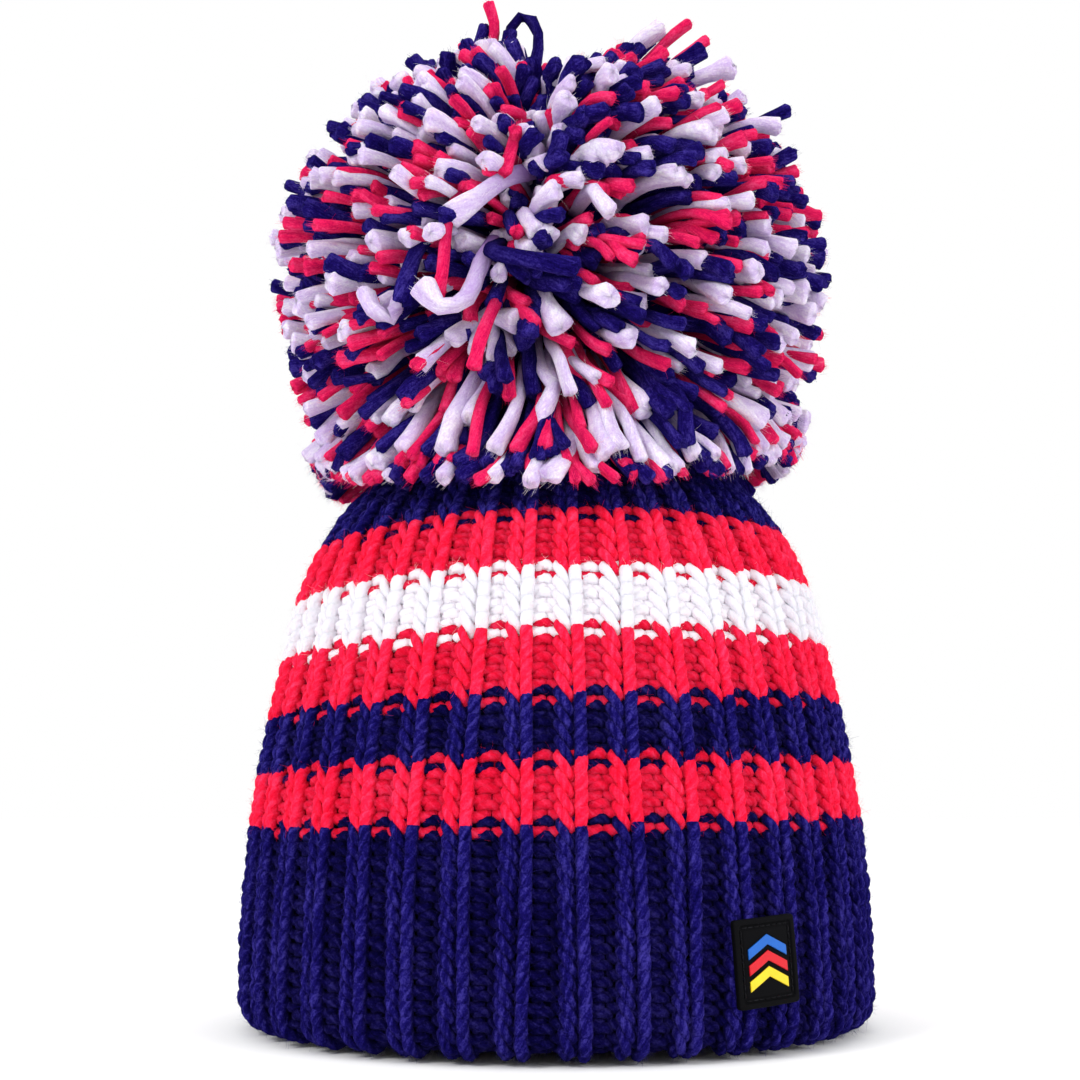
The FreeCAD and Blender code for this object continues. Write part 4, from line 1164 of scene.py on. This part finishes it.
def make_lining():
    """Fleece band with sunk stitch rows and rounded edges."""
    low, high = lining_low[2], lining_high[2]
    inside = np.linspace(low, high, 110)
    channel = sum(np.exp(-((inside - row) / (0.9 * MM)) ** 2)
                  for row in (STITCH_LOW, STITCH_HIGH, STITCH_JOIN))
    edge = np.minimum(inside - low, high - inside)
    rounding = np.clip(1 - edge / (0.9 * MM), 0, 1) ** 2 * 0.8 * MM
    depth_inside = LINING_THICK - 0.9 * MM * np.clip(channel, 0, 1) - rounding
    outside = inside[::-6]
    profile_z = np.concatenate([inside, outside])
    profile_d = np.concatenate([depth_inside, np.full(len(outside), 0.15 * MM)])
    angle = np.linspace(0, 2 * np.pi, 540, endpoint=False)
    grid_z, grid_a = np.meshgrid(profile_z, angle, indexing="ij")
    grid_d = np.broadcast_to(profile_d[:, None], grid_z.shape)
    radius = lining_face(grid_a, grid_z, grid_d)
    nap = 0.10 * MM * smooth_noise(np.stack([grid_a * 83 * MM, grid_z, grid_z * 0], -1), 2.2 * MM, 5)
    radius = np.minimum(radius + nap, lining_high[0])
    points = round_axis(radius, grid_a, grid_z)
    index = np.arange(grid_z.size).reshape(grid_z.shape)
    faces = ring_quads(np.concatenate([index, index[:1]]))[:, [0, 3, 2, 1]]
    uvs = np.stack([grid_a.ravel()[faces], grid_z.ravel()[faces]], -1)
    piece = new_object("lining_fleece_band", points.reshape(-1, 3), faces, uvs)
    dress(piece, "fleece", "hat", "lining_band")
    make_fleece_nap(inside, depth_inside)


def make_fleece_nap(heights, depths):
    """Short brushed fibres all over the fleece's face."""
    count = NAP_FIBRES
    angle = rng.uniform(0, 2 * np.pi, count)
    height = rng.uniform(lining_low[2] + 1 * MM, lining_high[2] - 0.6 * MM, count)
    radius = lining_face(angle, height, np.interp(height, heights, depths)) + 0.1 * MM
    outward = round_axis(1, angle, np.zeros(count))
    heading = -outward * 0.7 + rng.normal(size=(count, 3)) * 0.6
    builder = Builder()
    fibres(builder, round_axis(radius, angle, height), heading, rng.uniform(0.5, 1.3, count) * MM,
           0.04 * MM, 0.5)
    dress(builder.object("lining_fleece_nap"), "fleece", "hat", "lining_band")


def make_stitch_row(name, node, height, count, length, thread, upright, slant):
    """Row of threads round the fleece: each rises out of the cloth, lies on it and dives back."""
    angle = (np.arange(count) + 0.5) / count * 2 * np.pi
    t = np.linspace(0, 1, 11)
    radius = lining_high[0] - LINING_THICK + 0.62 * MM
    bow = 0.75 * MM * (1 - np.sin(np.pi * t) ** 0.5) - 0.12 * MM
    half = (t - 0.5) * length
    run, climb = (slant, 1.0) if upright else (1.0, slant)
    turn = angle[:, None] + run * half[None] / radius
    rise = height + climb * np.broadcast_to(half[None], turn.shape)
    paths = round_axis(radius + bow[None], turn, rise)
    normals = round_axis(1, turn, np.zeros_like(turn))
    builder = Builder()
    tubes(builder, paths, np.full(paths.shape[:2], thread), normals, 7, start_u=np.arange(count) * 0.01)
    dress(builder.object(name), "navy_thread", "hat", node)


def make_lining_stitches():
    """The two rows round the band, and the upright row that joins it to the turned-up edge."""
    for row, height, count, length, thread, upright, slant in (
            ("lower", STITCH_LOW, 84, 4.6 * MM, 0.36 * MM, False, 0.05),
            ("upper", STITCH_HIGH, 84, 4.6 * MM, 0.36 * MM, False, -0.05),
            ("join", STITCH_JOIN, 120, 2.4 * MM, 0.34 * MM, True, 0.8)):
        make_stitch_row(f"lining_{row}_stitch_row", f"lining_{row}_stitches", height, count, length, thread,
                        upright, slant)


# ---------------------------------------------------------------- the patch

PATCH_AZIMUTH = math.radians(35)
PATCH_TILT = math.radians(3.5)
PATCH_WIDTH = 20.4 * MM
PATCH_LENGTH = 22.8 * MM
PATCH_CORNER = 0.9 * MM
PATCH_CENTRE = 25 * MM        # height above the hem's base
PATCH_BACK = 0.3 * MM         # how far the back, the floor and the rim's top stand off the hem
PATCH_FLOOR = 1.4 * MM
PATCH_RIM = 2.0 * MM
PATCH_RIM_WIDTH = 1.5 * MM


def wall_face(height, offset):
    """Radius of the hem's outer face at a height, and an offset outside it."""
    bend = WALL_BEND + offset
    return HEM_RADIUS - WALL_BEND + np.sqrt(bend ** 2 - (height - WIDEST_HEIGHT) ** 2)


def on_patch(across, up, offset):
    """Wraps flat patch coordinates onto the hem."""
    cos, sin = math.cos(PATCH_TILT), math.sin(PATCH_TILT)
    x = across * cos - up * sin
    z = PATCH_CENTRE + across * sin + up * cos
    return round_axis(wall_face(z, offset), PATCH_AZIMUTH + x / HEM_RADIUS, z)


def rounded_loop(half_width, half_length, corner):
    """Points round a rounded rectangle, anticlockwise."""
    points = []
    for number, (x, y) in enumerate(((1, -1), (1, 1), (-1, 1), (-1, -1))):
        for turn in np.radians(np.linspace(-90, 0, 6) + number * 90):
            points.append((x * (half_width - corner) + corner * math.cos(turn),
                           y * (half_length - corner) + corner * math.sin(turn)))
    return np.array(points)


def subdivide_loop(loop, step):
    """Adds points along a closed loop's long edges, so that it can follow a curve."""
    points = []
    for start, end in zip(loop, np.roll(loop, -1, 0)):
        count = max(1, int(np.linalg.norm(end - start) / step))
        for number in range(count):
            points.append(start + (end - start) * number / count)
    return np.array(points)


def stacked(loops, heights):
    """Points of loops at their heights over the hem, and their numbers, loop by loop."""
    flat = np.concatenate([np.column_stack([loop, np.full(len(loop), height)])
                           for loop, height in zip(loops, heights)])
    return flat, np.arange(len(flat)).reshape(len(loops), -1)


def moulded(name, slot, node, flat, faces):
    """Moulded piece that follows the hem, with softened edges."""
    piece = new_object(name, on_patch(*flat.T), faces, flat[:, :2][faces] * 100)
    piece.modifiers.new("Edges", "WEIGHTED_NORMAL").keep_sharp = True
    dress(piece, slot, "hat", node)


def shrunk(loop, rings):
    """A loop shrunk to its middle in rings, for a face that follows the hem's curve."""
    middle = loop.mean(0)
    return [middle + (loop - middle) * share for share in np.linspace(1, 0.02, rings)]


def make_patch():
    """Plate with a rounded rim, a stitched channel inside it and a raised field."""
    half = np.array([PATCH_WIDTH, PATCH_LENGTH]) / 2
    outline = subdivide_loop(rounded_loop(*half, PATCH_CORNER), 1.2 * MM)
    rim = PATCH_RIM_WIDTH
    # how far in each ring lies, and how high
    steps = [
        (0.0, PATCH_BACK), (0.0, PATCH_RIM - 0.35 * MM), (0.10 * MM, PATCH_RIM - 0.12 * MM),
        (0.32 * MM, PATCH_RIM), (rim - 0.32 * MM, PATCH_RIM), (rim - 0.10 * MM, PATCH_RIM - 0.12 * MM),
        (rim, PATCH_FLOOR + 0.12 * MM), (rim + 0.12 * MM, PATCH_FLOOR), (rim + 1.15 * MM, PATCH_FLOOR),
        (rim + 1.3 * MM, PATCH_FLOOR + 0.15 * MM), (rim + 1.55 * MM, PATCH_FLOOR + 0.2 * MM),
    ]
    loops = [outline * ((half - inset) / half) for inset, _ in steps]
    heights = [height for _, height in steps]
    flat, index = stacked(shrunk(loops[0], 5)[::-1] + loops[1:-1] + shrunk(loops[-1], 9),
                          heights[:1] * 5 + heights[1:-1] + heights[-1:] * 9)
    moulded("patch_base_moulding", "patch_rubber", "patch_base", flat, ring_quads(index))
    for colour, place in (("blue", 1), ("red", 0), ("yellow", -1)):
        make_chevron(colour, place)
    make_patch_stitches()


def make_chevron(colour, place):
    """One raised zigzag band with softened edges."""
    half, rise, band, pitch = 6.4 * MM, 3.4 * MM, 2.6 * MM, 4.1 * MM
    base = place * pitch - rise / 2 - band / 2
    across = np.concatenate([np.linspace(-half, 0, 14), np.linspace(0, half, 14)[1:]])
    lower = base + rise * (1 - np.abs(across) / half)
    upper = lower + band
    outline = np.concatenate([np.stack([across, lower], -1), np.stack([across, upper], -1)[::-1]])
    middle = np.concatenate([(lower + upper) / 2, ((lower + upper) / 2)[::-1]])
    at_end = np.abs(outline[:, 0]) > half - 0.01 * MM
    # which way is out: up or down along the band, and sideways at its two ends
    out = np.stack([np.where(at_end, np.sign(outline[:, 0]), 0), np.sign(outline[:, 1] - middle)], -1)
    floor = PATCH_FLOOR + 0.2 * MM
    steps = [(0.0, floor - 0.1 * MM), (0.0, floor + 0.28 * MM), (0.08 * MM, floor + 0.4 * MM),
             (0.25 * MM, floor + 0.46 * MM)]
    flat, index = stacked([outline - out * inset for inset, _ in steps], [height for _, height in steps])
    faces = [ring_quads(index)]
    for ring, flip in ((index[0], True), (index[-1], False)):
        low, high = ring[:len(across)], ring[len(across):][::-1]
        strip = np.stack([low[:-1], low[1:], high[1:], high[:-1]], -1)
        faces.append(strip[:, ::-1] if flip else strip)
    moulded(f"patch_band_{colour}", f"patch_{colour}", f"patch_chevron_{colour}", flat, np.concatenate(faces))


def make_patch_stitches():
    """Thread in the channel inside the rim."""
    inset = PATCH_RIM_WIDTH + 0.62 * MM
    half_width, half_length = PATCH_WIDTH / 2 - inset, PATCH_LENGTH / 2 - inset
    pitch, length, thread = 1.95 * MM, 1.5 * MM, 0.2 * MM
    starts = []
    for run, fixed, horizontal in ((half_width, half_length, True), (half_length, half_width, False)):
        count = int(2 * run / pitch)
        for number in range(count):
            along = (number - (count - 1) / 2) * pitch
            for side in (-1, 1):
                starts.append((along, side * fixed, horizontal))
    t = np.linspace(0, 1, 9)
    paths = []
    for along, fixed, horizontal in starts:
        run = along + (t - 0.5) * length
        rest = np.full(9, fixed)
        across, up = (run, rest) if horizontal else (rest, run)
        height = PATCH_FLOOR + 0.22 * MM * np.sin(np.pi * t) ** 0.5 - 0.02 * MM
        paths.append(on_patch(across, up, height))
    paths = np.array(paths)
    normal = unit(paths * np.array([1, 1, 0]))
    builder = Builder()
    tubes(builder, paths, np.full(paths.shape[:2], thread), normal, 7)
    dress(builder.object("patch_stitch_threads"), "black_thread", "hat", "patch_stitches")


# ---------------------------------------------------------------- the care label


def make_label():
    """Satin tab with a folded lower hem, hanging from its top edge with a slight curl."""
    low, high = corner_box("care_label")
    width = high[0] - low[0]
    top, bottom = high[2], low[2]
    face = (low[1] + high[1]) / 2
    thick = 0.22 * MM
    grid_down, grid_x = np.meshgrid(np.linspace(0, 1, 34), np.linspace(-width / 2, width / 2, 28),
                                    indexing="ij")
    curl = (-0.5 * MM * grid_down ** 2 * np.cos(grid_x / width * np.pi)
            + 0.35 * MM * (grid_x / width * 2) ** 2 * grid_down)
    hem = np.where(grid_down > 0.9, 0.12 * MM, 0.0)
    front = np.stack([grid_x, face + curl - thick - hem, top + (bottom - top) * grid_down], -1)
    back = np.stack([grid_x, face + curl + thick, top + (bottom - top) * grid_down], -1)
    offset = grid_x.size
    index = np.arange(offset).reshape(grid_x.shape)
    faces = [np.stack([index[:-1, :-1], index[1:, :-1], index[1:, 1:], index[:-1, 1:]], -1).reshape(-1, 4)]
    faces.append(faces[0][:, ::-1] + offset)
    rim = np.concatenate([index[0, :], index[1:, -1], index[-1, -2::-1], index[-2:0:-1, 0]])
    faces.append(np.stack([rim, np.roll(rim, -1), np.roll(rim, -1) + offset, rim + offset], -1))
    points = np.concatenate([front.reshape(-1, 3), back.reshape(-1, 3)])
    faces = np.concatenate(faces)
    uvs = points[faces][..., [0, 2]] * 50
    piece = new_object("care_label_ribbon", points, faces, uvs)
    dress(piece, "label_satin", "care_label", "care_label")
    low, high = corner_box("care_label_stitches")
    t = np.linspace(0, 1, 12)
    y = low[1] + (high[1] - low[1]) * t
    z = (low[2] + high[2]) / 2 + 0.5 * MM * np.sin(np.pi * t) - 0.2 * MM
    paths = np.array([np.stack([place + 0.5 * MM * (t - 0.5), y, z], -1)
                      for place in np.linspace(low[0] + 0.4 * MM, high[0] - 0.4 * MM, 9)])
    steady = np.broadcast_to(np.array([0.0, 0.0, 1.0]), paths.shape)
    builder = Builder()
    tubes(builder, paths, np.full(paths.shape[:2], 0.3 * MM), steady, 7)
    dress(builder.object("care_label_threads"), "navy_thread", "hat", "care_label_stitches")


# ---------------------------------------------------------------- floor, lights and camera


def make_stage():
    """White floor, and an even white surround."""
    bpy.ops.mesh.primitive_plane_add(size=8, location=(0, 0, -0.5 * MM))
    floor = bpy.context.object
    floor.name = "floor"
    paint = Shading("floor_white", Roughness=0.9, Specular_IOR_Level=0.0)
    grain = paint.noise(40.0, 2.0, 0.5)
    paint.link(paint.ramp(grain, (0.3, (0.995, 0.995, 0.995)), (0.7, (1.0, 1.0, 1.0))),
               paint.shader.inputs["Base Color"])
    floor.data.materials.append(paint.material)
    world = bpy.data.worlds.new("studio")
    bpy.context.scene.world = world
    world.use_nodes = True
    background = world.node_tree.nodes["Background"]
    background.inputs["Color"].default_value = (1.0, 1.0, 1.0, 1)
    background.inputs["Strength"].default_value = 1.0


def place_object(name, data, place, target):
    """Object at a place, turned to face a target."""
    thing = bpy.data.objects.new(name, data)
    thing.location = place
    thing.rotation_euler = (Vector(target) - Vector(place)).to_track_quat("-Z", "Y").to_euler()
    bpy.context.collection.objects.link(thing)
    return thing


# name, place, width of the soft box, power in watts
LIGHTS = [
    ("key", (-0.95, -1.05, 1.05), 0.55, 11.5),
    ("fill", (1.1, -0.9, 0.75), 0.8, 6.8),
    ("top", (0.1, 0.2, 1.5), 0.8, 4.0),
]
LIGHT_TARGET = (0, 0, 0.15)
CAMERA_PLACE = (0.0, -0.564, 0.069)
CAMERA_TARGET = (-0.0047, 0.0, 0.147)
CAMERA_LENS = 60.57


def make_lights():
    for name, place, size, power in LIGHTS:
        light = bpy.data.lights.new(name, "AREA")
        light.shape = "DISK"
        light.size = size
        light.energy = power
        place_object(name, light, place, LIGHT_TARGET)


def make_camera():
    camera = bpy.data.cameras.new("camera")
    camera.lens = CAMERA_LENS
    camera.sensor_width = 36
    camera.clip_start = 0.02
    scene = bpy.context.scene
    scene.camera = place_object("camera", camera, CAMERA_PLACE, CAMERA_TARGET)
    scene.view_settings.view_transform = "Standard"
    scene.view_settings.look = "None"


make_camera()
make_stage()
make_lights()
make_knit()
make_back_seam()
make_drawstring()
make_lining()
make_lining_stitches()
make_patch()
make_label()
make_ties()
make_pom()
